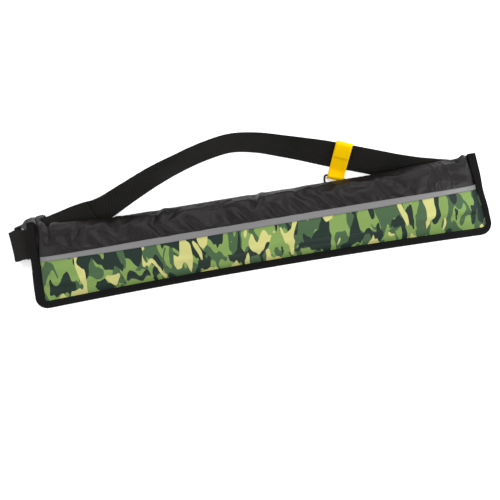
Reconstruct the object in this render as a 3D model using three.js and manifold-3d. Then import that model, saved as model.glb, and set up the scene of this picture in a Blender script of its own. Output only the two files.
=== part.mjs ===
// Inflatable life belt: a soft pouch on a buckled webbing belt, lying on its back.
// Millimetres, +Z up. X runs along the pouch, Y from its bound edge to its top fold.
import * as THREE from "three";
import { mergeVertices } from "three/addons/utils/BufferGeometryUtils.js";
import Module from "manifold-3d";

const wasm = await Module();
wasm.setup();

// Driving sizes of the pouch.
const CLEARANCE = 0.3; // gap kept between neighbouring pieces
const HALF_LENGTH = 300; // from the middle to the outer edge of an end
const CLOTH = 1.2; // thickness of the pouch's cloth
const LAYER = 1.4; // from the seam's middle to the outside of one cloth layer
const EAR_Y = { left: 107.4, right: 102.5 }; // height of the pinched top corners
const EDGE_BOW = 5; // how far the bound edge drops towards the ends
const CORNER_RADIUS = 17; // outer radius of the two bound corners
const SEAM_Z = 2.7; // seam's middle above the surface, along the bound edge
const PINCH_X = 288; // the two faces of the pouch meet here
const PANEL_X = 298.2; // the cloth's own ends, inside the binding
const FULLNESS = { flatness: 5, roundness: 0.55 }; // how the filling falls off towards the ends
const PANEL_COLUMNS = 56;
const BACK_COLUMNS = 36;
const COLUMN_EASE = 0.25; // how much closer the columns stand towards the ends

// How far each end reaches further out towards the bound edge.
const END_FLARE = { left: 2.7, right: 4.2, fullBelow: 25, goneAt: 60, startsAt: 200 };

// How far the pouch's upper corners are lifted by the belt that lies under them.
const CORNER_LIFTS = [
  { side: -1, seamRise: 16.3, backRise: 15, fullAt: 243, startsAt: 185 },
  { side: 1, seamRise: 15.3, backRise: 15, fullAt: 225, startsAt: 150 },
];
const LIFT_Y = { startsAt: 14, fullAt: 80 };

// Binding tape, folded round the cloth's edge.
const TAPE = 1.0;
const TAPE_WIDTH = { bottom: 9.2, ends: 9.8 };
const CLOTH_INSET = TAPE + 0.7; // from the tape's outer edge to the cloth's edge
const FLANGE_WIDTH = 8.6; // cloth held flat in the binding
const BINDING_STEPS = { bottom: 16, corner: 7, side: 15 };

// One section across the pouch, from the front of its bound edge over the top fold and back.
// y and z: the filled section. flatY: where the point lies at a pinched end. layer: 1 on the
// front, -1 on the back. inY and inZ: the way to the inside of the cloth. strips: facets from this
// row to the next. A row with flange lies flat in the binding, at that distance from the cloth's edge,
// and the row with ear ends at the pinched corners.
const SECTION = [
  { point: "front_edge", flange: 0, layer: 1, inY: 0, inZ: -1, strips: 1 },
  { point: "front_lip", flange: FLANGE_WIDTH, layer: 1, inY: 0, inZ: -1, strips: 3 },
  { point: "lower_crease", y: 18.5, z: 26, flatY: 26, layer: 1, inY: 0.6, inZ: -0.8, strips: 3 },
  { point: "camo_belly", y: 33, z: 36.5, flatY: 42, layer: 1, inY: 0.2, inZ: -1, strips: 2 },
  { point: "stripe_seam", y: 50, z: 41, flatY: 58, layer: 1, inY: 0, inZ: -1, strips: 2 },
  { point: "upper_belly", y: 66, z: 42, flatY: 74, layer: 1, inY: 0, inZ: -1, strips: 2 },
  { point: "top_crease", y: 82, z: 38, flatY: 91, layer: 1, inY: -0.5, inZ: -0.9, strips: 3 },
  { point: "top_fold", y: 96.5, z: 22, ear: true, layer: 0, inY: -1, inZ: 0, strips: 3 },
  { point: "under_fold", y: 92, z: 9, flatY: 94, layer: -1, inY: -0.8, inZ: 0.6, strips: 2 },
  { point: "back_seam", y: 83, z: 2.2, flatY: 88, layer: -1, inY: 0, inZ: 1, strips: 1 },
  { point: "rest_top", y: 73, z: 0, flatY: 78, layer: -1, inY: 0, inZ: 1, strips: 6 },
  { point: "rest_bottom", y: 24, z: 0, flatY: 28, layer: -1, inY: 0, inZ: 1, strips: 2 },
  { point: "back_lip", flange: FLANGE_WIDTH, layer: -1, inY: 0, inZ: 1, strips: 1 },
  { point: "back_edge", flange: 0, layer: -1, inY: 0, inZ: 1, strips: 0 },
];
const rowOf = (point) => SECTION.findIndex((row) => row.point === point);
const SEAM_GAP = 0.035; // half the gap at a seam, as a share of one row of the section

// Soft folds that rise from the stripe over the upper panel.
const UPPER_FOLDS = [
  { x: -240, lean: 14, width: 9, depth: 2.2 },
  { x: -196, lean: 30, width: 8, depth: 1.6 },
  { x: -136, lean: 16, width: 9, depth: 2.8 },
  { x: -78, lean: 26, width: 9, depth: 2.6 },
  { x: -10, lean: -16, width: 10, depth: 2.8 },
  { x: 62, lean: 22, width: 11, depth: 1.8 },
  { x: 128, lean: -14, width: 9, depth: 1.6 },
  { x: 188, lean: 20, width: 10, depth: 2.2 },
  { x: 244, lean: -12, width: 8, depth: 2.4 },
];
// Shares of the way from the stripe to the top fold between which a fold grows and fades.
const FOLD_GROWS = { from: 0.1, to: 0.34 };
const FOLD_FADES = { from: 0.75, to: 1.05 };
const FOLD_RIDGE = 0.5; // the ridge beside a fold, as a share of its depth

// Slack dents along the lower crease of the printed panel.
const CAMO_DENTS = [
  { x: -210, lean: 10, width: 16, depth: 1.6 },
  { x: -95, lean: -12, width: 20, depth: 2.0 },
  { x: 20, lean: 8, width: 18, depth: 1.5 },
  { x: 120, lean: -10, width: 22, depth: 2.0 },
  { x: 225, lean: 8, width: 16, depth: 1.8 },
];
// Shares of the way from the lower crease to the stripe between which a dent grows and fades.
const DENT_GROWS = { from: -0.6, to: 0 };
const DENT_FADES = { from: 0.4, to: 0.9 };

// Gathers where each end is sewn flat.
const GATHER = { pitch: 27, depth: 2.6, reach: 26, offset: 6, heldRows: 0.7, fadeRows: 0.6 };
const SLACK_FILL = { from: 0.1, to: 0.5 }; // how filled the pouch must be for its cloth to crease

// Reflective stripe over the seam.
const STRIPE = { halfRows: 0.25, thickness: 0.8, endX: PINCH_X + 0.5 };

// Webbing belt.
const STRAP = { width: 40, thickness: 1.8, steps: 64 };
const TAIL = { endX: -206, steps: 12, settles: 0.65 }; // the doubled end past the buckle
const TURN_STEPS = 8; // facets of a turn round a bar

// The standing belt, from its sewn end to the buckle: where its lower edge runs, how steeply it
// stands and how high that edge is lifted.
const STRAP_RUN = [
  { x: 280, y: 60, tilt: 3, lift: 9.6 },
  { x: 262, y: 61.5, tilt: 7, lift: 8 },
  { x: 240, y: 69, tilt: 26, lift: 2 },
  { x: 212, y: 81.5, tilt: 47, lift: 0 },
  { x: 182, y: 94, tilt: 54, lift: 1 },
  { x: 150, y: 106.2, tilt: 55, lift: 3.2 },
  { x: 125, y: 115.7, tilt: 55, lift: 3.5 },
  { x: 100, y: 125.3, tilt: 55, lift: 3.5 },
  { x: 72, y: 137.6, tilt: 61, lift: 2.4 },
  { x: 45, y: 149, tilt: 65.5, lift: 0.6 },
  { x: 13, y: 160.6, tilt: 69.5, lift: 0 },
  { x: -19, y: 166.2, tilt: 72.5, lift: 0 },
  { x: -53, y: 161.4, tilt: 73, lift: 0 },
  { x: -88, y: 151.5, tilt: 73, lift: 0 },
  { x: -123, y: 137.6, tilt: 68.5, lift: 0 },
  { x: -158, y: 120.6, tilt: 64.5, lift: 0 },
  { x: -188, y: 104.6, tilt: 59, lift: 0 },
  { x: -206, y: 94.8, tilt: 44, lift: 0.3 },
];
// Its last stretch, by the distance left to the buckle's bar.
const STRAP_TO_BUCKLE = [
  { left: 26, tilt: 14 },
  { left: 12, tilt: 0 },
  { left: 0, tilt: 0 },
];

// Short webbing at the left end: it runs out under the binding and folds back.
const STUB = { startX: -279, centreY: 82.4, foldX: -318.6, foldLean: 7, topZ: 13, tail: 8, steps: 22 };

// Side-release buckle. Distances along it are from the bar that the short webbing goes round.
const BUCKLE = {
  barFromFold: 9.5,
  barRadius: 2.2,
  middleZ: 5.5,
  socketThickness: 10.4,
  socketEnd: 26,
  plugThickness: 9,
  plugBar: 36,
  plugEnd: 40,
  webHalfWidth: 20.8,
  barFacets: 10,
};
// Half outlines of the buckle's pieces in plan: distance from the bar, and half width there.
const SOCKET_SIDE = [
  { along: -4, half: 21.6 },
  { along: -2.6, half: 23 },
  { along: 8, half: 23.2 },
  { along: 12, half: 26.4 },
  { along: 15, half: 27.4 },
  { along: 22, half: 27.4 },
  { along: BUCKLE.socketEnd, half: 26 },
];
const PLUG_START = BUCKLE.socketEnd + 0.4;
const PLUG_SIDE = [
  { along: PLUG_START, half: 25.4 },
  { along: PLUG_START + 3, half: 26.2 },
  { along: BUCKLE.plugEnd - 3, half: 25.4 },
  { along: BUCKLE.plugEnd, half: 23.2 },
];
const PRONG_SIDE = [
  { along: PLUG_START + 1, half: 18 },
  { along: 21, half: 17.6 },
  { along: 20.8, half: 25.4 },
  { along: 18, half: 25.8 },
  { along: 14.4, half: 21 },
  { along: 13, half: 17 },
  { along: 13.6, half: 13.4 },
  { along: PLUG_START - 3.6, half: 12.6 },
  { along: PLUG_START - 2.6, half: 4 },
  { along: 14.6, half: 3.4 },
];
const PRONG_THICKNESS = 5;
const EDGE_BEVEL = { socket: 0.9, plug: 0.8, prong: 0.4 };
// Openings cut into them: from and to along the buckle, half width, and height where it is not all.
const THROUGH = { low: -1, high: 12 };
const SOCKET_WEB_SLOT = { from: -6, to: 7.8, half: BUCKLE.webHalfWidth, ...THROUGH };
const SOCKET_CAVITY = { from: 11.4, to: BUCKLE.socketEnd + 1, half: 19, low: 2.6, high: 8.4 };
const SOCKET_WINDOWS = { ...SOCKET_CAVITY, from: 12.6, to: 21.6, half: 30 };
const PLUG_WEB_SLOT = {
  from: PLUG_START + 4.6,
  to: BUCKLE.plugEnd + 1,
  half: BUCKLE.webHalfWidth,
  ...THROUGH,
};
const WRAP_RADIUS = BUCKLE.barRadius + CLEARANCE + STRAP.thickness / 2;
const LOWER_WEB_Z = BUCKLE.middleZ - WRAP_RADIUS;

// Yellow tab round the belt, and the ring in its tunnel.
const TAB = {
  x: 118,
  width: 22,
  yaw: -3.5, // how far it is turned on the belt, in degrees
  cloth: 1.4,
  room: 0.85, // between its two faces and the belt
  tailLength: 13,
  tunnelRadius: 2.2,
  foot: 0.1, // the tail's underside above the surface
  facets: 12,
};
const RING = { wire: 1.7, halfBar: 12, corner: 2.5, depth: 14, steps: 44, sides: 7 };

const finish = (color, roughness, metalness) =>
  new THREE.MeshStandardMaterial({ color, roughness, metalness });
const MATERIALS = {
  nylon: finish(0x3a3737, 0.8, 0),
  print: finish(0x83a061, 0.85, 0),
  reflective: finish(0x929092, 0.45, 0.1),
  tape: finish(0x1c1b1a, 0.85, 0),
  webbing: finish(0x232322, 0.75, 0),
  plastic: finish(0x161616, 0.3, 0),
  yellow: finish(0xf2c008, 0.7, 0),
};

const v3 = (x, y, z) => new THREE.Vector3(x, y, z);
const radians = THREE.MathUtils.degToRad;
const smooth = (value, from, to) => THREE.MathUtils.smoothstep(value, from, to);
const mix = THREE.MathUtils.lerp;
const bell = (distance, width) => Math.exp(-((distance / width) ** 2));

// A closed skin over rings of points. Each ring is a wall's outline: its first half runs along one
// face and its second half back along the other, so a cap joins the opposite points.
function skin(rings, { loop = false } = {}) {
  const count = rings[0].length;
  const positions = rings.flat().flatMap((p) => [p.x, p.y, p.z]);
  const index = [];
  const quad = (a, b, c, d) => index.push(a, b, c, a, c, d);
  const spans = loop ? rings.length : rings.length - 1;
  for (let i = 0; i < spans; i++) {
    const here = i * count;
    const next = ((i + 1) % rings.length) * count;
    for (let j = 0; j < count; j++) {
      const k = (j + 1) % count;
      quad(here + j, here + k, next + k, next + j);
    }
  }
  if (!loop) {
    const last = (rings.length - 1) * count;
    for (let j = 0; j < count / 2 - 1; j++) {
      const opposite = count - 1 - j;
      quad(j, opposite, opposite - 1, j + 1);
      quad(last + j, last + j + 1, last + opposite - 1, last + opposite);
    }
  }
  const geometry = new THREE.BufferGeometry();
  geometry.setAttribute("position", new THREE.Float32BufferAttribute(positions, 3));
  geometry.setIndex(signedVolume(positions, index) < 0 ? index.reverse() : index);
  geometry.computeVertexNormals();
  return geometry;
}

function signedVolume(positions, index) {
  const corner = (i) => v3(...positions.slice(3 * index[i], 3 * index[i] + 3));
  let volume = 0;
  for (let i = 0; i < index.length; i += 3) {
    volume += corner(i).dot(corner(i + 1).cross(corner(i + 2)));
  }
  return volume / 6;
}

// Where the pouch's cloth lies.

// How filled the pouch is at x: 1 in the middle, 0 where its faces are sewn together.
function fullness(x) {
  const along = Math.min(Math.abs(x) / PINCH_X, 1);
  return (1 - along ** FULLNESS.flatness) ** FULLNESS.roundness;
}

function cornerLift(x, y, key) {
  const across = smooth(y, LIFT_Y.startsAt, LIFT_Y.fullAt);
  const lift = CORNER_LIFTS.find((corner) => corner.side * x >= 0);
  return lift[key] * across * smooth(Math.abs(x), lift.startsAt, lift.fullAt);
}

const earY = (x) => (x < 0 ? EAR_Y.left : EAR_Y.right);

// The shift along x that an end's flare gives to a point of the pouch.
function endFlare(x, y) {
  const reach = x < 0 ? -END_FLARE.left : END_FLARE.right;
  const below = 1 - smooth(y, END_FLARE.fullBelow, END_FLARE.goneAt);
  return reach * below * smooth(Math.abs(x), END_FLARE.startsAt, PINCH_X);
}

const seamZ = (x, y) => SEAM_Z + cornerLift(x, y, "seamRise");

// Outer line of the bound edge, with its two round corners, at a distance inside the tape's edge.
function boundEdgeY(x, inset) {
  const cornerX = HALF_LENGTH - CORNER_RADIUS;
  const bow = -EDGE_BOW * (Math.min(Math.abs(x), cornerX) / HALF_LENGTH) ** 2;
  const past = Math.max(Math.abs(x) - cornerX, 0);
  return bow + CORNER_RADIUS - Math.sqrt(Math.max((CORNER_RADIUS - inset) ** 2 - past ** 2, 0));
}

// A section row at x: its layer, its y, and its z where the pouch is filled.
function rowPoint(row, x) {
  if (row.flange !== undefined) {
    const y = boundEdgeY(x, CLOTH_INSET) + row.flange;
    return v3(row.layer, y, seamZ(x, y) + row.layer * LAYER);
  }
  const y = mix(row.ear ? earY(x) : row.flatY, row.y, fullness(x));
  const backShare = 1 - row.z / SECTION[rowOf("upper_belly")].z;
  return v3(row.layer, y, row.z + backShare * cornerLift(x, y, "backRise"));
}

// Folds, dents and gathers, as a depth along the way to the inside of the cloth.
function slackDepth(x, row) {
  const within = (value, range) => smooth(value, range.from, range.to);
  const top = rowOf("top_fold");
  const crease = rowOf("lower_crease");
  const overStripe = (row - STRIPE_ROW) / (top - STRIPE_ROW);
  const overCrease = (row - crease) / (STRIPE_ROW - crease);
  const foldWindow = within(overStripe, FOLD_GROWS) * (1 - within(overStripe, FOLD_FADES));
  const dentWindow = within(overCrease, DENT_GROWS) * (1 - within(overCrease, DENT_FADES));
  let depth = 0;
  for (const { x: foot, lean, width, depth: deep } of UPPER_FOLDS) {
    const past = x - foot - lean * overStripe;
    depth += deep * foldWindow * (bell(past, width) - FOLD_RIDGE * bell(past - 2 * width, width));
  }
  for (const { x: foot, lean, width, depth: deep } of CAMO_DENTS) {
    depth += deep * dentWindow * bell(x - foot - lean * overCrease, width);
  }
  const fromEnd = Math.max(PINCH_X - Math.abs(x), 0);
  const heldByStripe = 1 - bell(row - STRIPE_ROW, GATHER.heldRows);
  const belowFold = 1 - smooth(row, top - GATHER.fadeRows, top);
  const gatherWindow = smooth(row, crease, crease + 1) * heldByStripe * belowFold;
  const flatY = mix(SECTION[crease].flatY, earY(x), (row - crease) / (top - crease));
  const ripple = Math.cos((2 * Math.PI * (flatY + GATHER.offset * Math.sign(x))) / GATHER.pitch);
  depth += GATHER.depth * gatherWindow * ripple * Math.exp(-fromEnd / GATHER.reach);
  return depth * within(fullness(x), SLACK_FILL);
}

// One section at x: gives the outside of the cloth at a row, whole or in part, and the way inside.
function sectionAt(x) {
  const points = SECTION.map((row) => rowPoint(row, x));
  const inward = SECTION.map((row) => v3(0, row.inY, row.inZ).normalize());
  const body = new THREE.CatmullRomCurve3(points.slice(1, -1), false, "centripetal");
  const lastRow = SECTION.length - 1;
  const pointAt = (row) => {
    if (row <= 1) return points[0].clone().lerp(points[1], row);
    if (row >= lastRow - 1) return points[lastRow - 1].clone().lerp(points[lastRow], row - lastRow + 1);
    return body.getPoint((row - 1) / (lastRow - 2));
  };
  return (row) => {
    const floor = Math.min(Math.floor(row), lastRow - 1);
    const way = inward[floor].clone().lerp(inward[floor + 1], row - floor).normalize();
    const { x: layer, y, z: filledZ } = pointAt(row);
    const flatZ = seamZ(x, y) + layer * LAYER;
    const onFlange = row <= 1 || row >= lastRow - 1;
    const z = onFlange ? flatZ : mix(flatZ, Math.max(filledZ, 0), fullness(x));
    const surface = v3(x + endFlare(x, y), y, z);
    surface.addScaledVector(way, slackDepth(x, row));
    return { surface, way };
  };
}

// Columns along the pouch, closer together towards its ends, with the flat ends past the pinch.
function columns(count) {
  const filled = Array.from({ length: count + 1 }, (_, i) => {
    const share = (2 * i) / count - 1;
    return PINCH_X * ((1 + COLUMN_EASE) * share - COLUMN_EASE * share ** 3);
  });
  const middle = (PINCH_X + PANEL_X) / 2;
  return [-PANEL_X, -middle, ...filled, middle, PANEL_X];
}

// Rows of the section to lay facets on, between two rows, whole or in part.
function facetRows(fromRow, toRow) {
  const rows = [fromRow];
  for (let row = Math.floor(fromRow); row < toRow; row++) {
    const start = Math.max(row, fromRow);
    const end = Math.min(row + 1, toRow);
    const { strips } = SECTION[row];
    for (let j = 1; j <= strips; j++) rows.push(mix(start, end, j / strips));
  }
  return rows;
}

// A strip of the section, as a wall from one depth under its surface to another.
function panel(rows, columnsX, outerDepth, innerDepth) {
  const rings = columnsX.map((x) => {
    const samples = rows.map(sectionAt(x));
    const at = (depth) => samples.map(({ surface, way }) => surface.clone().addScaledVector(way, depth));
    return [...at(outerDepth), ...at(innerDepth).reverse()];
  });
  return skin(rings);
}

const STRIPE_ROW = rowOf("stripe_seam");
const BACK_ROW = rowOf("back_seam");

const camoPanel = () => panel(facetRows(0, STRIPE_ROW - SEAM_GAP), columns(PANEL_COLUMNS), 0, CLOTH);

const upperPanel = () =>
  panel(facetRows(STRIPE_ROW + SEAM_GAP, BACK_ROW - SEAM_GAP), columns(PANEL_COLUMNS), 0, CLOTH);

const backPanel = () =>
  panel(facetRows(BACK_ROW + SEAM_GAP, SECTION.length - 1), columns(BACK_COLUMNS), 0, CLOTH);

function reflectiveStripe() {
  const { halfRows, endX, thickness } = STRIPE;
  const rows = [STRIPE_ROW - halfRows, STRIPE_ROW, STRIPE_ROW + halfRows];
  const onStripe = columns(PANEL_COLUMNS).filter((x) => Math.abs(x) < endX);
  return panel(rows, onStripe, -CLEARANCE - thickness, -CLEARANCE);
}

// Half of the binding's outer line in plan, from the middle of the bound edge to one ear.
function bindingHalf(side) {
  const cornerX = HALF_LENGTH - CORNER_RADIUS;
  const cornerY = boundEdgeY(cornerX, 0) + CORNER_RADIUS;
  const line = [];
  const { bottom: bottomSteps, corner: arcSteps, side: sideSteps } = BINDING_STEPS;
  for (let i = 0; i < bottomSteps; i++) {
    const x = (cornerX * i) / bottomSteps;
    line.push({ x: side * x, y: boundEdgeY(x, 0), outX: 0, outY: -1 });
  }
  for (let i = 0; i <= arcSteps; i++) {
    const angle = ((i / arcSteps) * Math.PI) / 2;
    const outX = Math.sin(angle);
    const outY = -Math.cos(angle);
    const x = side * (cornerX + CORNER_RADIUS * outX);
    line.push({ x, y: cornerY + CORNER_RADIUS * outY, outX: side * outX, outY });
  }
  const topY = earY(side) + TAPE;
  for (let i = 1; i <= sideSteps; i++) {
    line.push({ x: side * HALF_LENGTH, y: mix(cornerY, topY, i / sideSteps), outX: side, outY: 0 });
  }
  return line;
}

// Tape folded round the cloth's edge: a U with the cloth's layers in its slot.
function edgeBinding() {
  const slot = LAYER + CLEARANCE;
  const outside = slot + TAPE;
  const profile = [
    { lip: true, height: outside },
    { inset: 0, height: outside },
    { inset: 0, height: -outside },
    { lip: true, height: -outside },
    { lip: true, height: -slot },
    { inset: TAPE, height: -slot },
    { inset: TAPE, height: slot },
    { lip: true, height: slot },
  ];
  const line = [...bindingHalf(-1).slice(1).reverse(), ...bindingHalf(1)];
  const rings = line.map(({ x, y, outX, outY }) =>
    profile.map(({ lip, inset, height }) => {
      const reach = lip ? mix(TAPE_WIDTH.bottom, TAPE_WIDTH.ends, outX ** 2) : inset;
      const px = x - outX * reach;
      const py = y - outY * reach;
      return v3(px + endFlare(px, py), py, seamZ(px, py) + height);
    }),
  );
  return skin(rings);
}

// Webbing.

// A flat strip through stations, each with its two edges and the way out of its face there.
function webbing(stations, thickness) {
  const half = thickness / 2;
  const rings = stations.map(({ lower, upper, lowerOut, upperOut }) => [
    lower.clone().addScaledVector(lowerOut, half),
    upper.clone().addScaledVector(upperOut, half),
    upper.clone().addScaledVector(upperOut, -half),
    lower.clone().addScaledVector(lowerOut, -half),
  ]);
  return skin(rings);
}

// The short webbing's fold: a half turn about a slanted line, from its upper run to its lower run.
const foldLean = radians(STUB.foldLean);
const foldOut = v3(-Math.cos(foldLean), -Math.sin(foldLean), 0);
const foldFoot = v3(STUB.foldX, STUB.centreY, 0);
const stubZ = STUB.topZ - STRAP.thickness / 2;
const foldRadius = (stubZ - LOWER_WEB_Z) / 2;
const halfTurn = Math.PI * foldRadius;

function foldedPoint(x, y) {
  const flat = v3(x, y, 0);
  const past = flat.clone().sub(foldFoot).dot(foldOut);
  const foot = flat.clone().addScaledVector(foldOut, -past);
  if (past <= 0) return { at: flat.setZ(stubZ), out: v3(0, 0, 1) };
  if (past >= halfTurn) {
    return { at: foot.addScaledVector(foldOut, halfTurn - past).setZ(LOWER_WEB_Z), out: v3(0, 0, -1) };
  }
  const angle = past / foldRadius;
  const z = stubZ - foldRadius * (1 - Math.cos(angle));
  const out = foldOut.clone().multiplyScalar(Math.sin(angle)).setZ(Math.cos(angle));
  return { at: foot.addScaledVector(foldOut, foldRadius * Math.sin(angle)).setZ(z), out };
}

// The buckle's own frame: its bar, the way along it and the way across it.
const barX = STUB.foldX - (halfTurn + BUCKLE.barFromFold) / Math.cos(foldLean);
const bar = foldedPoint(barX, STUB.centreY).at.setZ(0);
const along = v3(Math.cos(2 * foldLean), Math.sin(2 * foldLean), 0);
const across = v3(-along.y, along.x, 0);
const buckleStation = (distance, z, out) => {
  const middle = bar.clone().addScaledVector(along, distance).setZ(z);
  return {
    lower: middle.clone().addScaledVector(across, -STRAP.width / 2),
    upper: middle.clone().addScaledVector(across, STRAP.width / 2),
    lowerOut: out,
    upperOut: out,
  };
};

// Half a turn of webbing round a bar, from under it to over it.
function turnRoundBar(distance, side) {
  return Array.from({ length: TURN_STEPS + 1 }, (_, i) => {
    const angle = -Math.PI / 2 + (Math.PI * i) / TURN_STEPS;
    const out = along.clone().multiplyScalar(side * Math.cos(angle)).setZ(Math.sin(angle));
    const reach = side * WRAP_RADIUS * Math.cos(angle);
    return buckleStation(distance + reach, BUCKLE.middleZ + WRAP_RADIUS * Math.sin(angle), out);
  });
}

function buckleStub() {
  const stations = [];
  for (let i = 0; i < STUB.steps; i++) {
    const x = mix(STUB.startX, barX, i / STUB.steps);
    const lower = foldedPoint(x, STUB.centreY - STRAP.width / 2);
    const upper = foldedPoint(x, STUB.centreY + STRAP.width / 2);
    stations.push({ lower: lower.at, upper: upper.at, lowerOut: lower.out, upperOut: upper.out });
  }
  stations.push(...turnRoundBar(0, 1));
  stations.push(buckleStation(-STUB.tail, BUCKLE.middleZ + WRAP_RADIUS, v3(0, 0, 1)));
  return webbing(stations, STRAP.thickness);
}

// The belt's run from its sewn end to the buckle, as a curve for its lower edge and one for its slope.
const nearBuckle = STRAP_TO_BUCKLE.map(({ left, tilt }) => {
  const { lower } = buckleStation(BUCKLE.plugBar + left, LOWER_WEB_Z, v3(0, 0, -1));
  return { x: lower.x, y: lower.y, tilt, lift: LOWER_WEB_Z - STRAP.thickness / 2 };
});
const strapRows = [...STRAP_RUN, ...nearBuckle];
const edgeCurve = new THREE.CatmullRomCurve3(strapRows.map(({ x, y, lift }) => v3(x, y, lift)));
const slopeCurve = new THREE.CatmullRomCurve3(strapRows.map(({ tilt }, i) => v3(i, tilt, 0)));

function strapStation(share, raised = 0) {
  const edge = edgeCurve.getPoint(share);
  const way = edgeCurve.getTangent(share).setZ(0).normalize();
  const tilt = radians(Math.max(slopeCurve.getPoint(share).y, 0));
  const outwards = v3(way.y, -way.x, 0);
  const upSlope = outwards.clone().multiplyScalar(Math.cos(tilt)).setZ(Math.sin(tilt));
  const face = outwards.clone().multiplyScalar(-Math.sin(tilt)).setZ(Math.cos(tilt));
  edge.z = Math.max(edge.z, 0) + (STRAP.thickness / 2) * Math.cos(tilt);
  edge.addScaledVector(face, raised);
  const upper = edge.clone().addScaledVector(upSlope, STRAP.width);
  return { lower: edge, upper, lowerOut: face, upperOut: face, outwards, tilt };
}

// Share of the belt's run at which its lower edge reaches x.
function shareAtX(x) {
  const steps = 2000;
  for (let i = 0; i < steps; i++) {
    if (edgeCurve.getPoint(i / steps).x < x) return i / steps;
  }
  return 1;
}

// The belt's run, its turn round the bar and its doubled tail. The turn brings the other face up,
// so the run is given with its faces turned over.
function waistStrap() {
  const lastShare = (strapRows.length - 2) / (strapRows.length - 1); // the last row but one
  const run = Array.from({ length: STRAP.steps + 1 }, (_, i) => {
    const station = strapStation((lastShare * i) / STRAP.steps);
    const back = station.lowerOut.clone().negate();
    return { ...station, lowerOut: back, upperOut: back };
  });
  const overBar = 2 * WRAP_RADIUS;
  const doubled = STRAP.thickness + CLEARANCE;
  const tailShare = shareAtX(TAIL.endX);
  const tail = Array.from({ length: TAIL.steps + 1 }, (_, i) => {
    const share = i / TAIL.steps;
    const raised = mix(overBar, doubled, smooth(share, 0, TAIL.settles));
    return strapStation(mix(lastShare, tailShare, share), raised);
  });
  return webbing([...run, ...turnRoundBar(BUCKLE.plugBar, -1), ...tail], STRAP.thickness);
}

// Cutting and joining.
function toSolid(geometry) {
  const bare = new THREE.BufferGeometry();
  bare.setAttribute("position", geometry.getAttribute("position").clone());
  bare.setIndex(geometry.index);
  const merged = mergeVertices(bare, 1e-4);
  return new wasm.Manifold(
    new wasm.Mesh({
      numProp: 3,
      vertProperties: merged.getAttribute("position").array,
      triVerts: new Uint32Array(merged.index.array),
    }),
  );
}

function toGeometry(solid) {
  const { numProp, vertProperties, triVerts } = solid.getMesh();
  const geometry = new THREE.BufferGeometry();
  const positions = [];
  for (let i = 0; i < vertProperties.length; i += numProp) {
    positions.push(...vertProperties.subarray(i, i + 3));
  }
  geometry.setAttribute("position", new THREE.Float32BufferAttribute(positions, 3));
  geometry.setIndex(Array.from(triVerts));
  geometry.computeVertexNormals();
  return geometry;
}

// A block to cut from the buckle, even about its middle line.
function block({ from, to, half, low, high }) {
  const geometry = new THREE.BoxGeometry(to - from, 2 * half, high - low);
  return toSolid(geometry.translate((from + to) / 2, 0, (low + high) / 2));
}

// A plate of the buckle from half of its outline.
function plate(side, thickness, bevel) {
  const left = side.map(({ along: x, half }) => new THREE.Vector2(x, half));
  const right = left.map(({ x, y }) => new THREE.Vector2(x, -y)).reverse();
  const geometry = new THREE.ExtrudeGeometry(new THREE.Shape([...left, ...right]), {
    depth: thickness - 2 * bevel,
    bevelEnabled: true,
    bevelThickness: bevel,
    bevelSize: bevel,
    bevelOffset: -bevel,
    bevelSegments: 1,
  });
  return toSolid(geometry.translate(0, 0, BUCKLE.middleZ - thickness / 2 + bevel));
}

function webBar(distance) {
  const { barRadius, barFacets, webHalfWidth, middleZ } = BUCKLE;
  const length = 2 * webHalfWidth + 1; // a little into the frame on each side
  const rod = new THREE.CylinderGeometry(barRadius, barRadius, length, barFacets);
  return toSolid(rod.translate(distance, 0, middleZ));
}

function buckleSocket() {
  const body = plate(SOCKET_SIDE, BUCKLE.socketThickness, EDGE_BEVEL.socket);
  const hollow = body.subtract(block(SOCKET_CAVITY)).subtract(block(SOCKET_WINDOWS));
  return toGeometry(hollow.subtract(block(SOCKET_WEB_SLOT)).add(webBar(0)));
}

function bucklePlug() {
  const base = plate(PLUG_SIDE, BUCKLE.plugThickness, EDGE_BEVEL.plug).subtract(block(PLUG_WEB_SLOT));
  const prongs = plate(PRONG_SIDE, PRONG_THICKNESS, EDGE_BEVEL.prong);
  return toGeometry(base.add(prongs).add(webBar(BUCKLE.plugBar)));
}

// The tab's section across the belt: a loop round the belt and a tail on the surface with a tunnel.
const tabStation = strapStation(shareAtX(TAB.x));
const tunnelOuter = TAB.tunnelRadius + TAB.cloth;
const tunnelAt = new THREE.Vector2(-TAB.tailLength, TAB.foot + tunnelOuter);

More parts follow.
